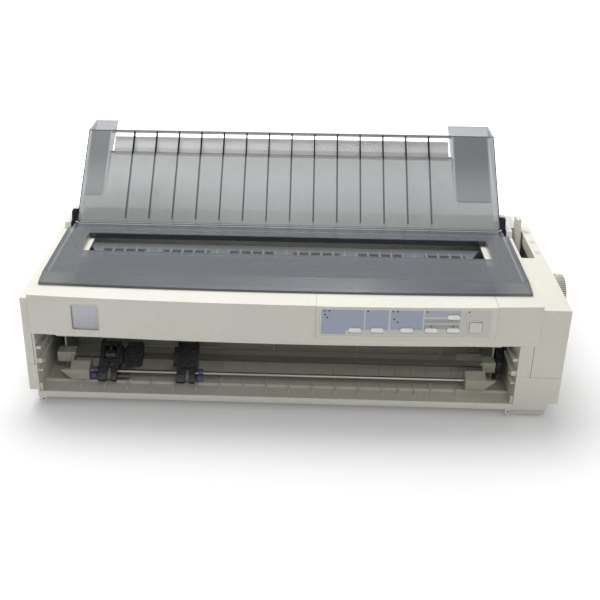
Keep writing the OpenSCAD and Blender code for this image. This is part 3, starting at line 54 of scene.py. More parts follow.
# panel film: its edges, printed areas x0, x1, z0, z1, and lamps
FILM = (41.2, 228.8, 110.2, 143.2)
FILM_BLOCKS = [(43.0, 89.5, 117.5, 142.4), (43.0, 69.6, 111.8, 118.0), (91.0, 116.0, 117.9, 142.4),
               (118.2, 153.3, 118.2, 142.3)]
FILM_LILAC = [(155.0, 193.8, 134.4, 142.2)]
FILM_BANDS = [(155.0, 193.8, 126.7, 131.6), (155.0, 193.8, 119.4, 125.2)]
FILM_LAMPS = [(46.2, 140.4), (51.4, 140.4), (46.9, 135.8), (49.4, 132.2), (93.3, 140.6), (120.6, 140.6),
              (125.6, 140.6), (122.0, 131.2), (126.0, 127.6), (157.6, 140.5), (203.0, 140.4), (162.8, 122.8),
              (187.1, 122.9)]
LAMP_R = 0.85
PILLS = [(79.8, 117.5), (104.1, 117.8), (136.3, 118.1), (163.1, 118.2), (187.4, 118.4), (186.6, 134.3)]
POWER = (211.7, 121.8)
BADGE = (-234.6, -204.4, 105.8, 135.6)
PRESS_GAP = 0.35             # clear space round every key
PILL_HALF = (7.25, 2.7)
POWER_HALF = (7.0, 6.25)
POWER_FRAME_HALF = (8.8, 8.2)
# sheet guide: distances along its slope and across the machine
GUIDE_TOP = 149.0
GUIDE_EDGE = 270.6
CAP_INNER = (-241.0, 216.5)
# printer cover: half widths and the depth of its crease
COVER_EDGE = 275.4
CREASE_Y = 47.5
# clear bar: first line, pitch of its lines, first roller and pitch of the rollers
BAR_X0, BAR_X1, BAR_FRONT = -226.0, 218.0, 127.0
BAR_PITCH = 14.2
ROLLER_X0, ROLLER_PITCH = -161.0, 79.5


def P(x, y, z):
    """Layout millimetres to row-frame metres."""
    return Vector(((x - ORIGIN[0]) / 1000, (y - ORIGIN[1]) / 1000, (z - ORIGIN[2]) / 1000))


def around(centre, half):
    """Edges x0, x1, z0, z1 of a rectangle round a centre."""
    return centre[0] - half[0], centre[0] + half[0], centre[1] - half[1], centre[1] + half[1]


def face_y(x):
    """Depth of the bowed fascia's front at x."""
    return BOW_R - FASCIA_BOW - math.sqrt(BOW_R ** 2 - x ** 2)


# ---------------------------------------------------------------- camera
def add_camera():
    data = bpy.data.cameras.new("photo_camera")
    camera = bpy.data.objects.new("photo_camera", data)
    bpy.context.scene.collection.objects.link(camera)
    focal_px, centre_u, centre_v, side = 979.682, 263.309, 314.127, 600
    data.sensor_width = 36
    data.lens = focal_px / side * data.sensor_width
    data.shift_x = (side / 2 - centre_u) / side
    data.shift_y = (centre_v - side / 2) / side
    data.clip_end = 50
    yaw, pitch, roll = (math.radians(a) for a in (-2.425, 27.209, -0.315))
    forward = Vector((math.sin(yaw) * math.cos(pitch), math.cos(yaw) * math.cos(pitch), -math.sin(pitch)))
    right = Vector((math.cos(yaw), -math.sin(yaw), 0))
    down = forward.cross(right)
    right_rolled = right * math.cos(roll) + down * math.sin(roll)
    down_rolled = forward.cross(right_rolled)
    turn = Matrix((right_rolled, -down_rolled, -forward)).transposed()
    camera.matrix_world = Matrix.Translation(P(19.71, -960.802, 623.143)) @ turn.to_4x4()
    bpy.context.scene.camera = camera


add_camera()


# ---------------------------------------------------------------- materials
class Mat:
    """A node material with one Principled shader, in the coordinates of the object's own mesh."""

    def __init__(self, name):
        self.mat = bpy.data.materials.new(name)
        self.mat.use_nodes = True
        self.tree = self.mat.node_tree
        self.shader = self.tree.nodes["Principled BSDF"]
        self.coords = self.tree.nodes.new("ShaderNodeTexCoord").outputs["Object"]

    def add(self, kind, **values):
        node = self.tree.nodes.new(kind)
        for key, value in values.items():
            setattr(node, key, value)
        return node

    def link(self, a, b):
        self.tree.links.new(a, b)

    def stretched(self, scale):
        node = self.add("ShaderNodeMapping")
        node.inputs["Scale"].default_value = scale
        self.link(self.coords, node.inputs["Vector"])
        return node.outputs["Vector"]

    def noise(self, scale, detail=3, rough=0.5, vector=None):
        node = self.add("ShaderNodeTexNoise")
        self.link(vector or self.coords, node.inputs["Vector"])
        node.inputs["Scale"].default_value = scale
        node.inputs["Detail"].default_value = detail
        node.inputs["Roughness"].default_value = rough
        return node.outputs["Fac"]

    def ramp(self, factor, low, high, a, b):
        node = self.add("ShaderNodeValToRGB")
        self.link(factor, node.inputs["Fac"])
        for element, place, tone in zip(node.color_ramp.elements, (low, high), (a, b)):
            element.position = place
            element.color = (*tone, 1)
        return node.outputs["Color"]

    def mix(self, factor, a, b, blend="MIX"):
        node = self.add("ShaderNodeMix", data_type="RGBA", blend_type=blend)
        ins = [s for s in node.inputs if s.enabled]
        for socket, value in zip((ins[0], ins[1], ins[2]), (factor, a, b)):
            if isinstance(value, (int, float)):
                socket.default_value = value
            elif isinstance(value, tuple):
                socket.default_value = (*value, 1)
            else:
                self.link(value, socket)
        return [s for s in node.outputs if s.enabled][0]

    def math(self, operation, *values, clamp=False):
        node = self.add("ShaderNodeMath", operation=operation, use_clamp=clamp)
        for socket, value in zip(node.inputs, values):
            if isinstance(value, (int, float)):
                socket.default_value = value
            else:
                self.link(value, socket)
        return node.outputs[0]

    def mm(self, axis):
        """One layout coordinate in millimetres, fixed to the piece."""
        if not hasattr(self, "split"):
            self.split = self.add("ShaderNodeSeparateXYZ")
            self.link(self.coords, self.split.inputs[0])
        index = "XYZ".index(axis)
        return self.math("MULTIPLY_ADD", self.split.outputs[index], 1000.0, ORIGIN[index])

    def slope(self, across=False):
        """Distance along the raised guide's slope from its hinge, or out of its face."""
        y = self.math("SUBTRACT", self.mm("Y"), HINGE_Y)
        z = self.math("SUBTRACT", self.mm("Z"), HINGE_Z)
        cos, sin = math.cos(GUIDE_TILT), math.sin(GUIDE_TILT)
        a, b = (-sin, cos) if across else (cos, sin)
        return self.math("ADD", self.math("MULTIPLY", y, a), self.math("MULTIPLY", z, b))

    def rise(self, value, low, high, start=0.0, end=1.0):
        """start below low, end above high, a smooth step between them."""
        node = self.add("ShaderNodeMapRange", interpolation_type="SMOOTHSTEP")
        self.link(value, node.inputs["Value"])
        for name, number in (("From Min", low), ("From Max", high), ("To Min", start), ("To Max", end)):
            node.inputs[name].default_value = number
        return node.outputs["Result"]

    def band(self, value, low, high, soft=0.2):
        """1 between low and high, 0 outside."""
        return self.math("MULTIPLY", self.rise(value, low - soft, low + soft),
                         self.rise(value, high - soft, high + soft, 1.0, 0.0))

    def rect(self, x0, x1, z0, z1, axes="XZ", soft=0.12):
        return self.math("MULTIPLY", self.band(self.mm(axes[0]), x0, x1, soft),
                         self.band(self.mm(axes[1]), z0, z1, soft))

    def every(self, value, first, pitch, half):
        """1 within half of first + k * pitch."""
        turns = self.math("DIVIDE", self.math("SUBTRACT", value, first - pitch / 2), pitch)
        near = self.math("ABSOLUTE", self.math("SUBTRACT", self.math("FRACT", turns), 0.5))
        return self.rise(self.math("MULTIPLY", near, pitch), half * 0.7, half * 1.3, 1.0, 0.0)

    def most(self, *masks):
        total = masks[0]
        for mask in masks[1:]:
            total = self.math("MAXIMUM", total, mask)
        return total

    def both(self, *masks):
        total = masks[0]
        for mask in masks[1:]:
            total = self.math("MULTIPLY", total, mask)
        return total

    def bump(self, height, strength, distance, normal=None):
        node = self.add("ShaderNodeBump")
        node.inputs["Strength"].default_value = strength
        node.inputs["Distance"].default_value = distance
        self.link(height, node.inputs["Height"])
        if normal is not None:
            self.link(normal, node.inputs["Normal"])
        return node.outputs["Normal"]

    def set(self, **values):
        for key, value in values.items():
            socket = self.shader.inputs[key.replace("_", " ")]
            if isinstance(value, (int, float)):
                socket.default_value = value
            elif isinstance(value, tuple):
                socket.default_value = (*value, 1) if len(value) == 3 and socket.type == "RGBA" else value
            else:
                self.link(value, socket)
        return self


def shade(tone, by):
    return tuple(min(1, c * by) for c in tone)


def plastic(name, tone, rough=0.5, grain=1500, depth=0.00004, vary=0.06, dust=0.0, stain=None):
    """Moulded plastic: slow colour drift, fine spark-eroded grain, and a little dust on what faces up."""
    m = Mat(name)
    drift = m.ramp(m.noise(7, 4), 0.3, 0.7, shade(tone, 1 - vary), shade(tone, 1 + vary * 0.5))
    mottle = m.ramp(m.noise(260, 5, 0.6), 0.35, 0.65, (0.955, 0.955, 0.95), (1, 1, 1))
    colour = m.mix(1.0, drift, mottle, "MULTIPLY")
    if stain:
        patches = m.ramp(m.noise(3.1, 5, 0.65), 0.5, 0.72, (0, 0, 0), (0.35, 0.35, 0.35))
        colour = m.mix(patches, colour, stain)
    if dust:
        up = m.add("ShaderNodeSeparateXYZ")
        m.link(m.add("ShaderNodeNewGeometry").outputs["Normal"], up.inputs["Vector"])
        specks = m.ramp(m.noise(420, 6, 0.7), 0.5, 0.75, (0, 0, 0), (dust, dust, dust))
        facing = m.add("ShaderNodeMath", operation="MULTIPLY", use_clamp=True)
        m.link(up.outputs["Z"], facing.inputs[0])
        m.link(specks, facing.inputs[1])
        colour = m.mix(facing.outputs[0], colour, (0.55, 0.53, 0.48))
    gloss = m.ramp(m.noise(45, 4), 0.3, 0.7, (rough - 0.06,) * 3, (rough + 0.08,) * 3)
    m.set(Base_Color=colour, Roughness=gloss, Normal=m.bump(m.noise(grain, 2), 0.35, depth))
    return m


def metal(name, tone, rough=0.35, brush=(1, 40, 40), scale=60, depth=0.00001, metallic=1.0):
    """Bare or plated metal with fine lines along one direction."""
    m = Mat(name)
    lines = m.noise(scale, 6, 0.65, m.stretched(brush))
    colour = m.ramp(lines, 0.3, 0.7, shade(tone, 0.82), shade(tone, 1.08))
    blotch = m.ramp(m.noise(11, 5), 0.35, 0.7, (0.88, 0.87, 0.84), (1, 1, 1))
    gloss = m.ramp(lines, 0.3, 0.7, (rough - 0.08,) * 3, (rough + 0.12,) * 3)
    m.set(Base_Color=m.mix(1.0, colour, blotch, "MULTIPLY"), Roughness=gloss, Metallic=metallic,
          Normal=m.bump(lines, 0.25, depth))
    return m


def smoked(name, tone, alpha, rough=0.12, scratch=0.05, drift=0.06):
    """Thin translucent plastic: each wall passes part of the light, with faint wipe marks in its gloss."""
    m = Mat(name)
    wipe = m.noise(5, 4, 0.55, m.stretched((1, 4, 2)))
    m.colour = m.ramp(wipe, 0.3, 0.75, shade(tone, 1 - drift), shade(tone, 1 + drift))
    m.alpha = m.ramp(m.noise(60, 3), 0.3, 0.7, (alpha - 0.015,) * 3, (alpha + 0.015,) * 3)
    gloss = m.ramp(wipe, 0.3, 0.7, (rough,) * 3, (rough + 0.1,) * 3)
    m.set(Base_Color=m.colour, Roughness=gloss, Alpha=m.alpha, IOR=1.5,
          Normal=m.bump(m.noise(900, 3), scratch, 0.00002))
    m.shader.inputs["Coat Weight"].default_value = 0.15
    m.shader.inputs["Coat Roughness"].default_value = 0.08
    return m


def tint(m, mask, tone, alpha=None):
    """Lay a tone, and for clear plastic its cover, over part of a material."""
    m.colour = m.mix(mask, m.colour, tone)
    m.set(Base_Color=m.colour)
    if alpha is not None:
        m.alpha = m.mix(mask, m.alpha, (alpha,) * 3)
        m.set(Alpha=m.alpha)


def guide_plastic():
    """Frosted smoked panel: painted shade that darkens it towards the right, the lower left and the top, dark
    lines where the ribs stand behind it, darker end caps, dark edges.
    """
    m = smoked("smoked_guide", (0.33, 0.35, 0.35), 0.66, rough=0.32, scratch=0.01, drift=0.03)
    m.set(Coat_Weight=0.0)
    x, u, n = m.mm("X"), m.slope(), m.slope(across=True)
    # painted shade: the panel's tone is darkened towards the right, the lower left and the top
    tint(m, m.rise(x, 60, 260, 0.0, 0.7), (0.30, 0.32, 0.325))
    tint(m, m.both(m.rise(u, 15, 110, 1.0, 0.0), m.rise(x, -200, 0, 1.0, 0.4)), (0.148, 0.160, 0.160))
    tint(m, m.rise(u, 60, 120, 0.0, 1.0), (0.205, 0.218, 0.218))
    inside = m.band(x, GUIDE_RIB_X0 - 3, GUIDE_RIB_X0 + 13 * GUIDE_RIB_PITCH + 3)
    ribs = m.both(m.every(x, GUIDE_RIB_X0, GUIDE_RIB_PITCH, 1.05), inside, m.band(u, 13, GUIDE_TOP))
    tint(m, m.both(ribs, m.rise(u, 108, 113, 0.62, 1.0)), (0.012, 0.013, 0.02), 0.96)
    front = m.rise(n, -8.0, -7.5)
    backs = m.both(m.most(m.band(x, -267, -242.5, 1.5), m.band(x, 218, 263, 1.5)), m.band(u, 48, GUIDE_TOP),
                   front)
    tint(m, m.both(backs, m.rise(u, 45, 130, 0.45, 1.0)), (0.095, 0.105, 0.112), 0.86)
    sides = m.most(m.band(x, -271, -268), m.band(x, 264.5, 270))
    tint(m, m.both(sides, m.band(u, 20, GUIDE_TOP - 1), front), (0.36, 0.38, 0.40), 0.66)
    seams = m.both(m.most(m.band(x, -267, -245), m.band(x, 220, 262)), m.band(u, 46.8, 48.2), front)
    tint(m, seams, (0.10, 0.11, 0.12), 0.8)
    caps = m.most(m.rise(x, CAP_INNER[0] - 0.5, CAP_INNER[0] + 0.5, 1.0, 0.0),
                  m.rise(x, CAP_INNER[1] - 0.5, CAP_INNER[1] + 0.5))
    tint(m, m.both(caps, m.rise(u, GUIDE_TOP + 0.5, GUIDE_TOP + 1.5), m.rise(n, -8.0, -6.0, 1.0, 0.6)),
         (0.20, 0.21, 0.225), 0.62)
    rims = m.most(m.rise(x, -GUIDE_EDGE - 0.6, -GUIDE_EDGE, 1.0, 0.0), m.rise(x, GUIDE_EDGE, GUIDE_EDGE + 0.6),
                  m.both(m.band(u, GUIDE_TOP - 1.3, GUIDE_TOP + 0.3), front))
    dark = m.both(rims, m.rise(n, -9, -8))
    tint(m, dark, (0.03, 0.034, 0.045), 0.95)
    m.set(Specular_IOR_Level=m.math("SUBTRACT", 0.4, m.math("MULTIPLY", m.most(dark, ribs), 0.4)))
    return m


def cover_plastic():
    """Smoked cover: faint lines along its sides, its crease, dark rims, paler front corners and painted
    highlight stripes on its hinge knuckle.
    """
    m = smoked("smoked_cover", (0.104, 0.116, 0.131), 0.66, rough=0.2, scratch=0.015)
    x, y = m.math("ABSOLUTE", m.mm("X")), m.mm("Y")
    slope = m.rise(y, CREASE_Y, CREASE_Y + 1.0, 1.0, 0.0)
    tint(m, m.both(slope, m.rise(x, 225, 268)), (0.20, 0.215, 0.215), 0.60)
    lines = m.both(m.most(m.band(x, 253.6, 254.6), m.band(x, 267.4, 268.6)), m.rise(y, 47, 52))
    crease = m.both(m.band(y, CREASE_Y - 0.3, CREASE_Y + 1.1), m.rise(x, 268, 276, 0.75, 0.4))
    tint(m, m.most(m.both(lines, m.rise(y, 0, 1, 0.0, 0.55)), crease), (0.06, 0.065, 0.075), 0.85)
    tint(m, m.both(m.band(x, 268.8, 271.5), m.rise(y, 47, 52, 0.0, 0.45)), (0.42, 0.44, 0.45), 0.6)
    rims = m.most(m.rise(x, COVER_EDGE, COVER_EDGE + 0.7),
                  m.both(m.band(y, 163, 166.5), m.rise(x, 244, 247, 1.0, 0.0)),
                  m.both(m.band(y, 108.6, 110.4), m.rise(x, 244, 247, 0.5, 0.0)))
    tint(m, rims, (0.035, 0.04, 0.05), 0.9)
    # painted highlights: two pale stripes along the hinge knuckle, over a darker tint of the knuckle
    painted_highlight_stripes = m.most(m.band(y, 194.2, 196.0, 0.3), m.band(y, 200.4, 202.0, 0.3))
    tint(m, m.both(m.rise(y, 192.5, 193.5), m.rise(x, 265, 266, 1.0, 0.0)), (0.05, 0.055, 0.065), 0.88)
    tint(m, m.both(painted_highlight_stripes, m.rise(x, 265, 266, 1.0, 0.0)), (0.30, 0.32, 0.33), 0.9)
    return m


def flap_plastic():
    """Clear guide flap: pale, with a darker lower part in three bands."""
    m = smoked("clear_flap", (0.26, 0.26, 0.24), 0.6, rough=0.25, scratch=0.01)
    u = m.slope()
    bands = ((0, 128, (0.18, 0.185, 0.18)), (116, 122, (0.11, 0.115, 0.115)), (0, 113, (0.155, 0.155, 0.14)))
    for low, high, tone in bands:
        tint(m, m.band(u, low, high, 0.5), tone, 0.7)
    return m


def bar_plastic():
    """Clear bar over the paper tension unit, frosted where its rollers sit, with a painted shadow along its
    rear.
    """
    m = smoked("clear_bar", (0.19, 0.205, 0.215), 0.8, rough=0.2, scratch=0.01)
    x, y = m.mm("X"), m.mm("Y")
    inside = m.band(x, BAR_X0, BAR_X1)
    # painted shadow: the rear strip of the bar is darkened and made nearly opaque
    tint(m, m.rise(y, 150, 153), (0.13, 0.137, 0.145), 0.96)
    blocks = m.both(m.every(x, ROLLER_X0, ROLLER_PITCH, 10.5), inside)
    between = m.both(m.every(x, BAR_X0 + BAR_PITCH / 2, BAR_PITCH, 5.6), m.math("SUBTRACT", 1.0, blocks), inside)
    tint(m, m.both(between, m.band(y, BAR_FRONT, 143)), (0.035, 0.039, 0.045), 0.95)
    tint(m, m.both(blocks, m.band(y, BAR_FRONT, 149)), (0.17, 0.178, 0.185), 0.9)
    ticks = m.both(m.every(x, BAR_X0, BAR_PITCH, 0.6), inside)
    tint(m, m.both(ticks, m.band(y, BAR_FRONT, 150)), (0.26, 0.275, 0.285), 0.93)
    return m


def tube_plastic():
    """Glossy smoked tube with two painted highlight lines along it and painted shade on its rear flank."""
    m = smoked("smoked_tube", (0.10, 0.11, 0.12), 0.92, rough=0.06)
    y, z = m.math("SUBTRACT", m.mm("Y"), HINGE_Y), m.math("SUBTRACT", m.mm("Z"), HINGE_Z)
    # painted highlights: a bright line along the top front and a paler one along the front; painted shade over
    # the rear flank
    tint(m, m.both(m.band(y, -1.5, -0.5, 0.15), m.rise(z, 1.8, 2.2)), (0.50, 0.53, 0.55), 0.95)
    tint(m, m.both(m.band(z, -0.2, 0.8, 0.15), m.rise(y, -2.6, -2.2, 1.0, 0.0)), (0.30, 0.32, 0.34), 0.95)
    tint(m, m.rise(y, 0.6, 1.2), (0.03, 0.033, 0.04), 0.95)
    return m


def knob_plastic():
    """Knob plastic with painted shade in the valleys between its ribs."""
    m = plastic("knob_plastic", (0.70, 0.68, 0.60), 0.38, grain=2400, depth=0.00001, vary=0.03)
    m.colour = m.shader.inputs["Base Color"].links[0].from_socket
    y, z = m.math("SUBTRACT", m.mm("Y"), KNOB_Y), m.math("SUBTRACT", m.mm("Z"), KNOB_Z)
    turns = m.math("MULTIPLY", m.math("ARCTAN2", z, y), KNOB_RIBS / (2 * math.pi))
    radius = m.math("SQRT", m.math("ADD", m.math("MULTIPLY", y, y), m.math("MULTIPLY", z, z)))
    rim = m.rise(radius, 22.0, 22.6)
    # painted shade: the valleys between the rim's ribs are darkened
    tint(m, m.both(m.every(turns, 0.5, 1.0, 0.24), rim), (0.16, 0.155, 0.13))
    return m


def film_plastic():
    """Printed panel film: silver-cream ground, four blue-grey blocks, a few pale bands and a painted shadow
    under each key.
    """
    m = plastic("panel_film", (0.60, 0.59, 0.55), 0.40, grain=2600, depth=0.00001, vary=0.02)
    m.colour = m.shader.inputs["Base Color"].links[0].from_socket
    for boxes, tone in ((FILM_BLOCKS, (0.36, 0.395, 0.495)), (FILM_LILAC, (0.42, 0.44, 0.52)),
                        (FILM_BANDS, (0.36, 0.37, 0.37))):
        tint(m, m.most(*[m.rect(*box) for box in boxes]), tone)
    tint(m, m.rect(*around(POWER, POWER_FRAME_HALF)), (0.72, 0.71, 0.63))
    rim = m.math("SUBTRACT", 1.0, m.rect(FILM[0] + 1.2, FILM[1] - 1.2, FILM[2] + 1.0, FILM[3] - 0.8))
    tint(m, rim, (0.70, 0.69, 0.62))
    # painted shadow: a dark strip on the film just below each key
    painted_shadow_under_keys = m.most(*[m.rect(x - 6.6, x + 6.6, z - 3.9, z - 3.1, soft=0.3) for x, z in PILLS])
    tint(m, painted_shadow_under_keys, (0.20, 0.20, 0.21))
    marks = m.most(*[m.rect(*around(place, (LAMP_R, LAMP_R))) for place in FILM_LAMPS])
    tint(m, marks, (0.02, 0.02, 0.05))
    return m


CREAM = (0.735, 0.715, 0.645)
looks = {
    "case": plastic("case_plastic", CREAM, 0.5, dust=0.25, stain=(0.60, 0.56, 0.44)),
    "inner": plastic("inner_plastic", (0.56, 0.53, 0.45), 0.55, dust=0.5, stain=(0.40, 0.37, 0.30)),
    "bracket": plastic("bracket_plastic", (0.46, 0.45, 0.36), 0.5, dust=0.2),
    "cover": cover_plastic(),
    "tube": tube_plastic(),
    "guide": guide_plastic(),
    "flap": flap_plastic(),
    "bar": bar_plastic(),
    "film": film_plastic(),
    "lamp": plastic("lamp_window", (0.012, 0.012, 0.03), 0.18, vary=0.3),
    "badge": metal("badge_plate", (0.42, 0.43, 0.46), 0.34, brush=(40, 1, 1), scale=40, metallic=0.6),
    "steel": metal("ground_steel", (0.36, 0.33, 0.30), 0.36, brush=(1, 60, 60), scale=30),
    "zinc": metal("zinc_sheet", (0.46, 0.48, 0.44), 0.45, brush=(30, 30, 1), scale=25),
    "black": plastic("black_plastic", (0.018, 0.018, 0.02), 0.42, vary=0.2, dust=0.25),
    "blue": plastic("blue_plastic", (0.10, 0.10, 0.28), 0.42, vary=0.12, dust=0.2),
    "gear": plastic("gear_plastic", (0.62, 0.60, 0.53), 0.38, vary=0.05),
    "brass": metal("turned_brass", (0.72, 0.52, 0.22), 0.3, brush=(60, 1, 1)),
    "rubber": plastic("black_rubber", (0.022, 0.022, 0.023), 0.7, grain=900, depth=0.00006, vary=0.2,
                      dust=0.4),
    "clip": plastic("clip_plastic", (0.12, 0.117, 0.11), 0.36, vary=0.08),
    "roller": plastic("grey_rubber", (0.40, 0.42, 0.42), 0.62, grain=900, vary=0.05),
    "knob": knob_plastic(),
    "motor": metal("black_motor", (0.05, 0.05, 0.053), 0.4, brush=(1, 1, 30), metallic=0.4),
    "board": plastic("circuit_board", (0.02, 0.11, 0.05), 0.35, grain=700, vary=0.15, dust=0.3),
    "button": plastic("button_plastic", (0.70, 0.68, 0.60), 0.34, grain=2400, depth=0.00001, vary=0.03),
    "key": plastic("key_plastic", (0.90, 0.89, 0.85), 0.34, grain=2400, depth=0.00001, vary=0.02),
}

LOOK_OF = {
    "case": "upper_case lower_case left_side_cover right_side_cover control_panel release_lever",
    "inner": "paper_guide", "bracket": "tractor_bracket_left tractor_bracket_right",
    "cover": "cover_shell", "tube": "cover_hinge_tube", "guide": "sheet_guide", "flap": "guide_flap",
    "bar": "tension_frame", "film": "panel_overlay", "lamp": "indicator_lamps", "badge": "name_badge",
    "steel": "case_screws carriage_rod tractor_rod platen_shaft tractor_shaft",
    "zinc": "chassis carriage_rail power_supply",
    "black": "parallel_port power_inlet tractor_gear idler_gear tractor_left tractor_right sprocket_left "
             "sprocket_right flap_left flap_right carriage ribbon_cartridge",
    "blue": "lock_lever_left lock_lever_right",
    "gear": "platen_gear drive_pulley idler_pulley", "brass": "feed_pinion",
    "rubber": "rubber_feet timing_belt platen_roller", "roller": "tension_rollers",
    "motor": "carriage_motor feed_motor print_head", "board": "main_board",
    "button": "platen_knob button_1 button_2 button_3 button_4 button_5 button_6 power_button",
}
BEVEL = {"case": 0.8, "inner": 0.6, "cover": 0.5, "guide": 0.4, "flap": 0.2, "badge": 0.2, "black": 0.25,
         "blue": 0.3, "zinc": 0.2, "bar": 0.25, "motor": 0.3}

for look, names in LOOK_OF.items():
    for name in names.split():
        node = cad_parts[name]
        node.data.materials.clear()
        node.data.materials.append(looks[look].mat)
        weld = node.modifiers.new("weld", "WELD")
        weld.merge_threshold = 0.000002
        if look in BEVEL:
            bevel = node.modifiers.new("bevel", "BEVEL")
            bevel.width = BEVEL[look] / 1000
            bevel.segments = 2
            bevel.limit_method = "ANGLE"
            bevel.angle_limit = math.radians(40)
            bevel.use_clamp_overlap = True
            bevel.harden_normals = False


# ---------------------------------------------------------------- making pieces
def piece(name, bm, look, body, slot, smooth=math.radians(35), *replaced):
    mesh = bpy.data.meshes.new(name)
    bmesh.ops.recalc_face_normals(bm, faces=bm.faces)
    bm.to_mesh(mesh)
    bm.free()
    for polygon in mesh.polygons:
        polygon.use_smooth = True
    mesh.set_sharp_from_angle(angle=smooth)
    obj = bpy.data.objects.new(name, mesh)
    bpy.context.scene.collection.objects.link(obj)
    mesh.materials.append(looks[look].mat)
    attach(obj, body)
    if replaced:
        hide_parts(*replaced)
    return obj


def loft(bm, rings, close_ends=True):
    """Skin between closed rings of equal point counts."""
    made = [[bm.verts.new(p) for p in ring] for ring in rings]
    for lower, upper in zip(made, made[1:]):
        count = len(lower)
        for i in range(count):
            bm.faces.new((lower[i], lower[(i + 1) % count], upper[(i + 1) % count], upper[i]))
    if close_ends:
        bm.faces.new(made[0][::-1])
        bm.faces.new(made[-1])


def rounded_rect(half_w, half_h, radius, steps=6):
    """Outline of a rounded rectangle, counter-clockwise, as (a, b) pairs."""
    points = []
    for cx, cz, start in ((1, 1, 0), (-1, 1, 90), (-1, -1, 180), (1, -1, 270)):
        for k in range(steps + 1):
            angle = math.radians(start + 90 * k / steps)
            points.append((cx * (half_w - radius) + radius * math.cos(angle),
                           cz * (half_h - radius) + radius * math.sin(angle)))
    return points


def circle(radius, sides):
    """Points of a circle as (a, b) pairs."""
    return [(radius * math.cos(2 * math.pi * k / sides), radius * math.sin(2 * math.pi * k / sides))
            for k in range(sides)]


def along(loop, step):
    """The same closed outline with points no further apart than step."""
    points = []
    for (a0, b0), (a1, b1) in zip(loop, loop[1:] + loop[:1]):
        parts = max(1, math.ceil(math.hypot(a1 - a0, b1 - b0) / step))
        points += [(a0 + (a1 - a0) * k / parts, b0 + (b1 - b0) * k / parts) for k in range(parts)]
    return points


def turned(name, profile, y, z, look, body, slot, *replaced, sides=32):
    """Round piece along x: profile of (x, radius) pairs."""
    bm = bmesh.new()
    rings = [[P(x, y + a, z + b) for a, b in circle(r, sides)] for x, r in profile]
    loft(bm, rings)
    return piece(name, bm, look, body, slot, math.radians(40), *replaced)


def button_piece(name, x, z, half_w, half_h, radius, out, body, node, look="key"):
    """Pillow-faced key: straight skirt, rounded shoulder and a slightly crowned face."""
    front = face_y(x) - PANEL_PROUD - out
    back = face_y(x) + 5
    shoulder = 0.9
    rings = []
    for depth, inset in ((back, 0), (front + shoulder, 0), (front + 0.42, 0.12), (front + 0.16, 0.36),
                         (front + 0.04, 0.75), (front, 1.3)):
        rings.append([P(x + a, depth, z + b)
                      for a, b in rounded_rect(half_w - inset, half_h - inset, max(radius - inset, 0.25))])
    bm = bmesh.new()
    loft(bm, rings)
    return piece(name, bm, look, body, "button_plastic", math.radians(50), node)


def film_piece():
    """Panel film that follows the bowed insert, with openings for the keys."""
    x0, x1, z0, z1 = FILM
    loops = [rounded_rect((x1 - x0) / 2, (z1 - z0) / 2, 1.2)]
    centres = [((x0 + x1) / 2, (z0 + z1) / 2)]
    for x, z in PILLS:
        loops.append(rounded_rect(PILL_HALF[0] + PRESS_GAP, PILL_HALF[1] + PRESS_GAP, 3.0))
        centres.append((x, z))
    loops.append(rounded_rect(POWER_HALF[0] + PRESS_GAP, POWER_HALF[1] + PRESS_GAP, 1.4))
    centres.append(POWER)
    bm = bmesh.new()
    for loop, (cx, cz) in zip(loops, centres):
        ring = [bm.verts.new((cx + a, 0, cz + b)) for a, b in loop]
        for a, b in zip(ring, ring[1:] + ring[:1]):
            bm.edges.new((a, b))
    bmesh.ops.triangle_fill(bm, edges=bm.edges[:], use_beauty=True, normal=(0, -1, 0))
    step = 3.0
    x = x0 + step
    while x < x1:
        bmesh.ops.bisect_plane(bm, geom=bm.verts[:] + bm.edges[:] + bm.faces[:], plane_co=(x, 0, 0),
                               plane_no=(1, 0, 0))
        x += step
    thick = bmesh.ops.extrude_face_region(bm, geom=bm.faces[:])
    for item in thick["geom"]:
        if isinstance(item, bmesh.types.BMVert):
            item.co.y = 1.0
    for vert in bm.verts:
        x, z = vert.co.x, vert.co.z
        vert.co = P(x, face_y(x) - PANEL_PROUD - 0.08 + 0.5 * vert.co.y, z)
    return piece("panel_film", bm, "film", "case", "panel_film", math.radians(35), "panel_overlay")


film_piece()


def ring_piece(name, edges, width, out, deep, look, base=PANEL_PROUD, corner=1.0):
    """Raised frame on the bowed fascia, with a rounded crest."""
    x0, x1, z0, z1 = edges
    section = [(0.0, -deep), (0.0, out * 0.6), (width * 0.25, out), (width * 0.75, out), (width, out * 0.6),
               (width, -deep)]
    half_w, half_h = (x1 - x0) / 2, (z1 - z0) / 2
    outline = along(rounded_rect(half_w, half_h, corner), 4.0)
    rings = []
    for inset, height in section:
        ring = []
        for a, b in outline:
            x = (x0 + x1) / 2 + a * (half_w - inset) / half_w
            ring.append(P(x, face_y(x) - base - height, (z0 + z1) / 2 + b * (half_h - inset) / half_h))
        rings.append(ring)
    bm = bmesh.new()
    loft(bm, rings + rings[:1], close_ends=False)
    bmesh.ops.remove_doubles(bm, verts=bm.verts[:], dist=0.000001)
    return piece(name, bm, look, "case", "case_plastic", math.radians(50))


for index, (bx, bz) in enumerate(PILLS, 1):
    button_piece(f"key_{index}", bx, bz, *PILL_HALF, 2.69, 1.8, f"button_{index}", f"button_{index}")
button_piece("power_key", *POWER, *POWER_HALF, 1.2, 1.6, "power_button", "power_button", "button")


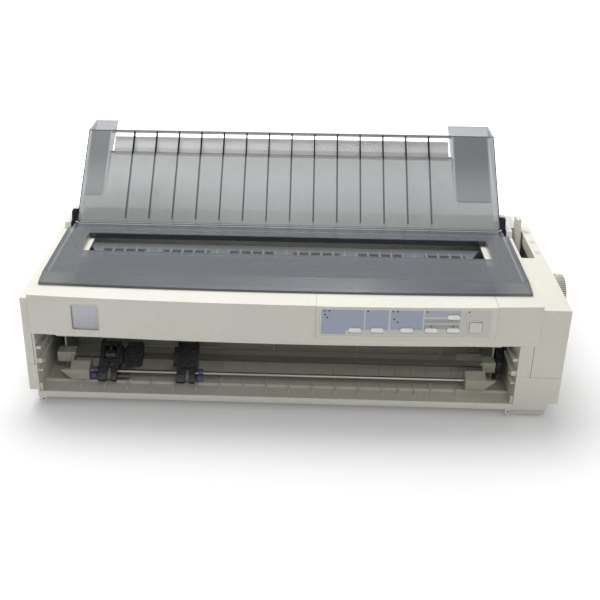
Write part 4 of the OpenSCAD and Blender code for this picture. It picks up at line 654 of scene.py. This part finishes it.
def knob_piece():
    """Platen knob: fine ribs round the rim, a chamfer and a dished face."""
    x0, x1 = 316.2, 327.2
    per = 6
    r = 24.0

    def ring(x, radius, rib):
        points = []
        for i in range(KNOB_RIBS * per):
            angle = 2 * math.pi * i / (KNOB_RIBS * per)
            wave = 0.5 + 0.5 * math.cos(angle * KNOB_RIBS)
            points.append(P(x, KNOB_Y + (radius - rib * (1 - wave) ** 1.5) * math.cos(angle),
                            KNOB_Z + (radius - rib * (1 - wave) ** 1.5) * math.sin(angle)))
        return points
    profile = [(x0, r - 1.6, 0), (x0 + 0.6, r - 0.4, 0.3), (x0 + 1.0, r - 0.1, 1.2),
               (x1 - 2.4, r - 0.1, 1.2), (x1 - 1.6, r - 0.7, 0.6), (x1 - 0.9, r - 1.8, 0.1),
               (x1 - 0.3, r - 2.8, 0), (x1, r - 4.2, 0), (x1 - 0.1, r - 6.0, 0), (x1 - 1.2, r - 8.5, 0),
               (x1 - 1.6, r - 12, 0), (x1 - 1.7, 2.0, 0)]
    bm = bmesh.new()
    loft(bm, [ring(*row) for row in profile])
    return piece("knob", bm, "knob", "platen", "case_plastic", math.radians(50), "platen_knob")


knob_piece()
ring_piece("film_frame", (FILM[0] - 1.6, FILM[1] + 1.4, FILM[2] - 1.6, FILM[3] + 0.6), 1.5, 0.6, 0.3, "case",
           corner=1.6)
ring_piece("power_frame", around(POWER, POWER_FRAME_HALF), 1.3, 0.9, 0.0, "button", corner=1.6)
ring_piece("badge_frame", (BADGE[0] - 1.0, BADGE[1] + 1.0, BADGE[2] - 1.0, BADGE[3] + 1.0), 1.0, 0.7, 0.3,
           "button", base=0.0, corner=1.2)


def on_tractor(x, u, n):
    """Point in the tractors' sloping frame: u along it from the support rod, n out of its bed."""
    cos, sin = math.cos(TRACTOR_TILT), math.sin(TRACTOR_TILT)
    return P(x, ROD_Y + u * cos - n * sin, ROD_Z + u * sin + n * cos)


def pin_pieces(body, places):
    """Domed heads of the pins on a tractor's frame."""
    for number, (x, u, n, r) in enumerate(places, 1):
        profile = [(r, -0.4), (r, 0.35), (r * 0.85, 0.75), (r * 0.5, 1.0), (r * 0.12, 1.08)]
        bm = bmesh.new()
        loft(bm, [[on_tractor(x + a, u + b, n + h) for a, b in circle(radius, 16)] for radius, h in profile])
        piece(f"{body}_pin_{number}", bm, "clip", body, "gear_plastic", math.radians(50))


def clip_piece(body, x):
    """Spring clip that shows between a tractor's feet, bent over the support rod."""
    path = [(-13.4, 0.6), (-12.6, 2.0), (-10.5, 3.6), (-7.5, 4.9), (-4.0, 5.6), (-1.0, 5.9), (1.6, 5.9)]
    bm = bmesh.new()
    rings = []
    for (u, n), half_w in zip(path, (1.2, 1.9, 2.2, 2.3, 2.3, 2.1, 1.9)):
        rings.append([on_tractor(x + a, u, n + b) for a, b in rounded_rect(half_w, 0.6, 0.4, 3)])
    loft(bm, rings)
    piece(f"{body}_clip", bm, "clip", body, "gear_plastic", math.radians(50))


pin_pieces("tractor_left", [(-215.7, 5.3, 7.5, 1.1), (-202.6, 5.7, 7.5, 1.1), (-214.2, -8.4, 5.2, 0.7)])
pin_pieces("tractor_right", [(-119.2, 4.3, 7.5, 1.1), (-105.3, 3.7, 7.5, 1.1), (-121.0, -8.4, 5.2, 0.7)])
clip_piece("tractor_left", LEFT_TRACTOR + 0.75)
clip_piece("tractor_right", RIGHT_TRACTOR + 0.75)


def sleeve_piece():
    """Ribbed grey sleeve beside the left tractor's foot."""
    bm = bmesh.new()
    profile = [(-197.5, 1.9), (-196.8, 2.15), (-189.5, 2.15), (-189.2, 1.95), (-188.6, 1.95), (-188.3, 2.15),
               (-181.0, 2.15), (-180.4, 1.7)]
    loft(bm, [[on_tractor(x, a - 6, b - 1.2) for a, b in circle(r, 24)] for x, r in profile])
    piece("tractor_sleeve", bm, "clip", "tractor_left", "roller_rubber", math.radians(40))


sleeve_piece()


def hinge_tube_piece():
    """Hinge tube of the printer cover with a collar and a ball at both ends."""
    r, end = 3.0, 276.0
    half = [(0, r), (end - 13, r), (end - 12.6, r + 0.5), (end - 11, r + 0.9), (end - 9.6, r + 0.5),
            (end - 9.2, r - 0.6), (end - 7.6, r - 0.6), (end - 7.2, r + 0.2), (end - 6, r + 1.1),
            (end - 4, r + 1.4), (end - 2, r + 0.9), (end - 0.6, r - 0.4), (end, r - 1.0), (end + 5.8, r - 1.0)]
    profile = [(-x, radius) for x, radius in half[:0:-1]] + half
    return turned("hinge_tube", profile, HINGE_Y, HINGE_Z, "tube", "printer_cover", "smoked_cover",
                  "cover_hinge_tube")


hinge_tube_piece()


# ---------------------------------------------------------------- floor, light and background
def background_mix(tree, shader_a, shader_b):
    """shader_a lights things; shader_b is what the camera, reflections and clear parts see."""
    path = tree.nodes.new("ShaderNodeLightPath")
    first = tree.nodes.new("ShaderNodeMath")
    first.operation = "MAXIMUM"
    second = tree.nodes.new("ShaderNodeMath")
    second.operation = "MAXIMUM"
    tree.links.new(path.outputs["Is Camera Ray"], first.inputs[0])
    tree.links.new(path.outputs["Is Glossy Ray"], first.inputs[1])
    tree.links.new(first.outputs[0], second.inputs[0])
    tree.links.new(path.outputs["Is Transmission Ray"], second.inputs[1])
    mix = tree.nodes.new("ShaderNodeMixShader")
    tree.links.new(second.outputs[0], mix.inputs["Fac"])
    tree.links.new(shader_a, mix.inputs[1])
    tree.links.new(shader_b, mix.inputs[2])
    return mix.outputs[0]


def add_world():
    world = bpy.data.worlds.new("studio")
    bpy.context.scene.world = world
    world.use_nodes = True
    tree = world.node_tree
    tree.nodes.clear()
    ambient = tree.nodes.new("ShaderNodeBackground")
    ambient.inputs["Color"].default_value = (0.97, 0.985, 1, 1)
    ambient.inputs["Strength"].default_value = 0.42
    seen = tree.nodes.new("ShaderNodeBackground")
    seen.inputs["Color"].default_value = (1, 1, 1, 1)
    seen.inputs["Strength"].default_value = 0.98
    out = tree.nodes.new("ShaderNodeOutputWorld")
    tree.links.new(background_mix(tree, ambient.outputs[0], seen.outputs[0]), out.inputs["Surface"])


def add_floor():
    mesh = bpy.data.meshes.new("floor")
    bm = bmesh.new()
    bmesh.ops.create_grid(bm, x_segments=8, y_segments=8, size=9)
    bm.to_mesh(mesh)
    bm.free()
    floor = bpy.data.objects.new("floor", mesh)
    floor.location.z = -0.0002
    bpy.context.scene.collection.objects.link(floor)
    mat = bpy.data.materials.new("floor_paper")
    mat.use_nodes = True
    tree = mat.node_tree
    tree.nodes.clear()
    diffuse = tree.nodes.new("ShaderNodeBsdfDiffuse")
    diffuse.inputs["Color"].default_value = (0.80, 0.80, 0.80, 1)
    glow = tree.nodes.new("ShaderNodeEmission")
    place = tree.nodes.new("ShaderNodeTexCoord")
    reach = tree.nodes.new("ShaderNodeVectorMath")
    reach.operation = "LENGTH"
    tree.links.new(place.outputs["Object"], reach.inputs[0])
    # painted shade: the floor's glow is weaker near the machine, so the floor round it reads darker
    fade = tree.nodes.new("ShaderNodeMapRange")
    fade.interpolation_type = "SMOOTHSTEP"
    for name, number in (("From Min", 0.33), ("From Max", 0.9), ("To Min", 0.13), ("To Max", 0.8)):
        fade.inputs[name].default_value = number
    tree.links.new(reach.outputs["Value"], fade.inputs["Value"])
    tree.links.new(fade.outputs["Result"], glow.inputs["Strength"])
    total = tree.nodes.new("ShaderNodeAddShader")
    tree.links.new(diffuse.outputs[0], total.inputs[0])
    tree.links.new(glow.outputs[0], total.inputs[1])
    out = tree.nodes.new("ShaderNodeOutputMaterial")
    tree.links.new(background_mix(tree, diffuse.outputs[0], total.outputs[0]), out.inputs["Surface"])
    mesh.materials.append(mat)


def add_lamp(name, place, target, power, width, height, colour):
    data = bpy.data.lights.new(name, "AREA")
    data.shape = "RECTANGLE"
    data.size, data.size_y = width, height
    data.energy = power
    data.color = colour
    lamp = bpy.data.objects.new(name, data)
    bpy.context.scene.collection.objects.link(lamp)
    lamp.location = place
    lamp.rotation_euler = (Vector(target) - Vector(place)).to_track_quat("-Z", "Y").to_euler()


add_world()
add_floor()
add_lamp("ceiling", (-0.25, 0.55, 1.75), (0, 0.05, 0.1), 33.0, 1.6, 1.2, (1, 1, 1))
add_lamp("front_fill", (0.35, -1.6, 1.3), (0, 0, 0.1), 3.8, 0.5, 0.35, (1, 0.99, 0.97))

bpy.context.scene.view_settings.view_transform = "Standard"
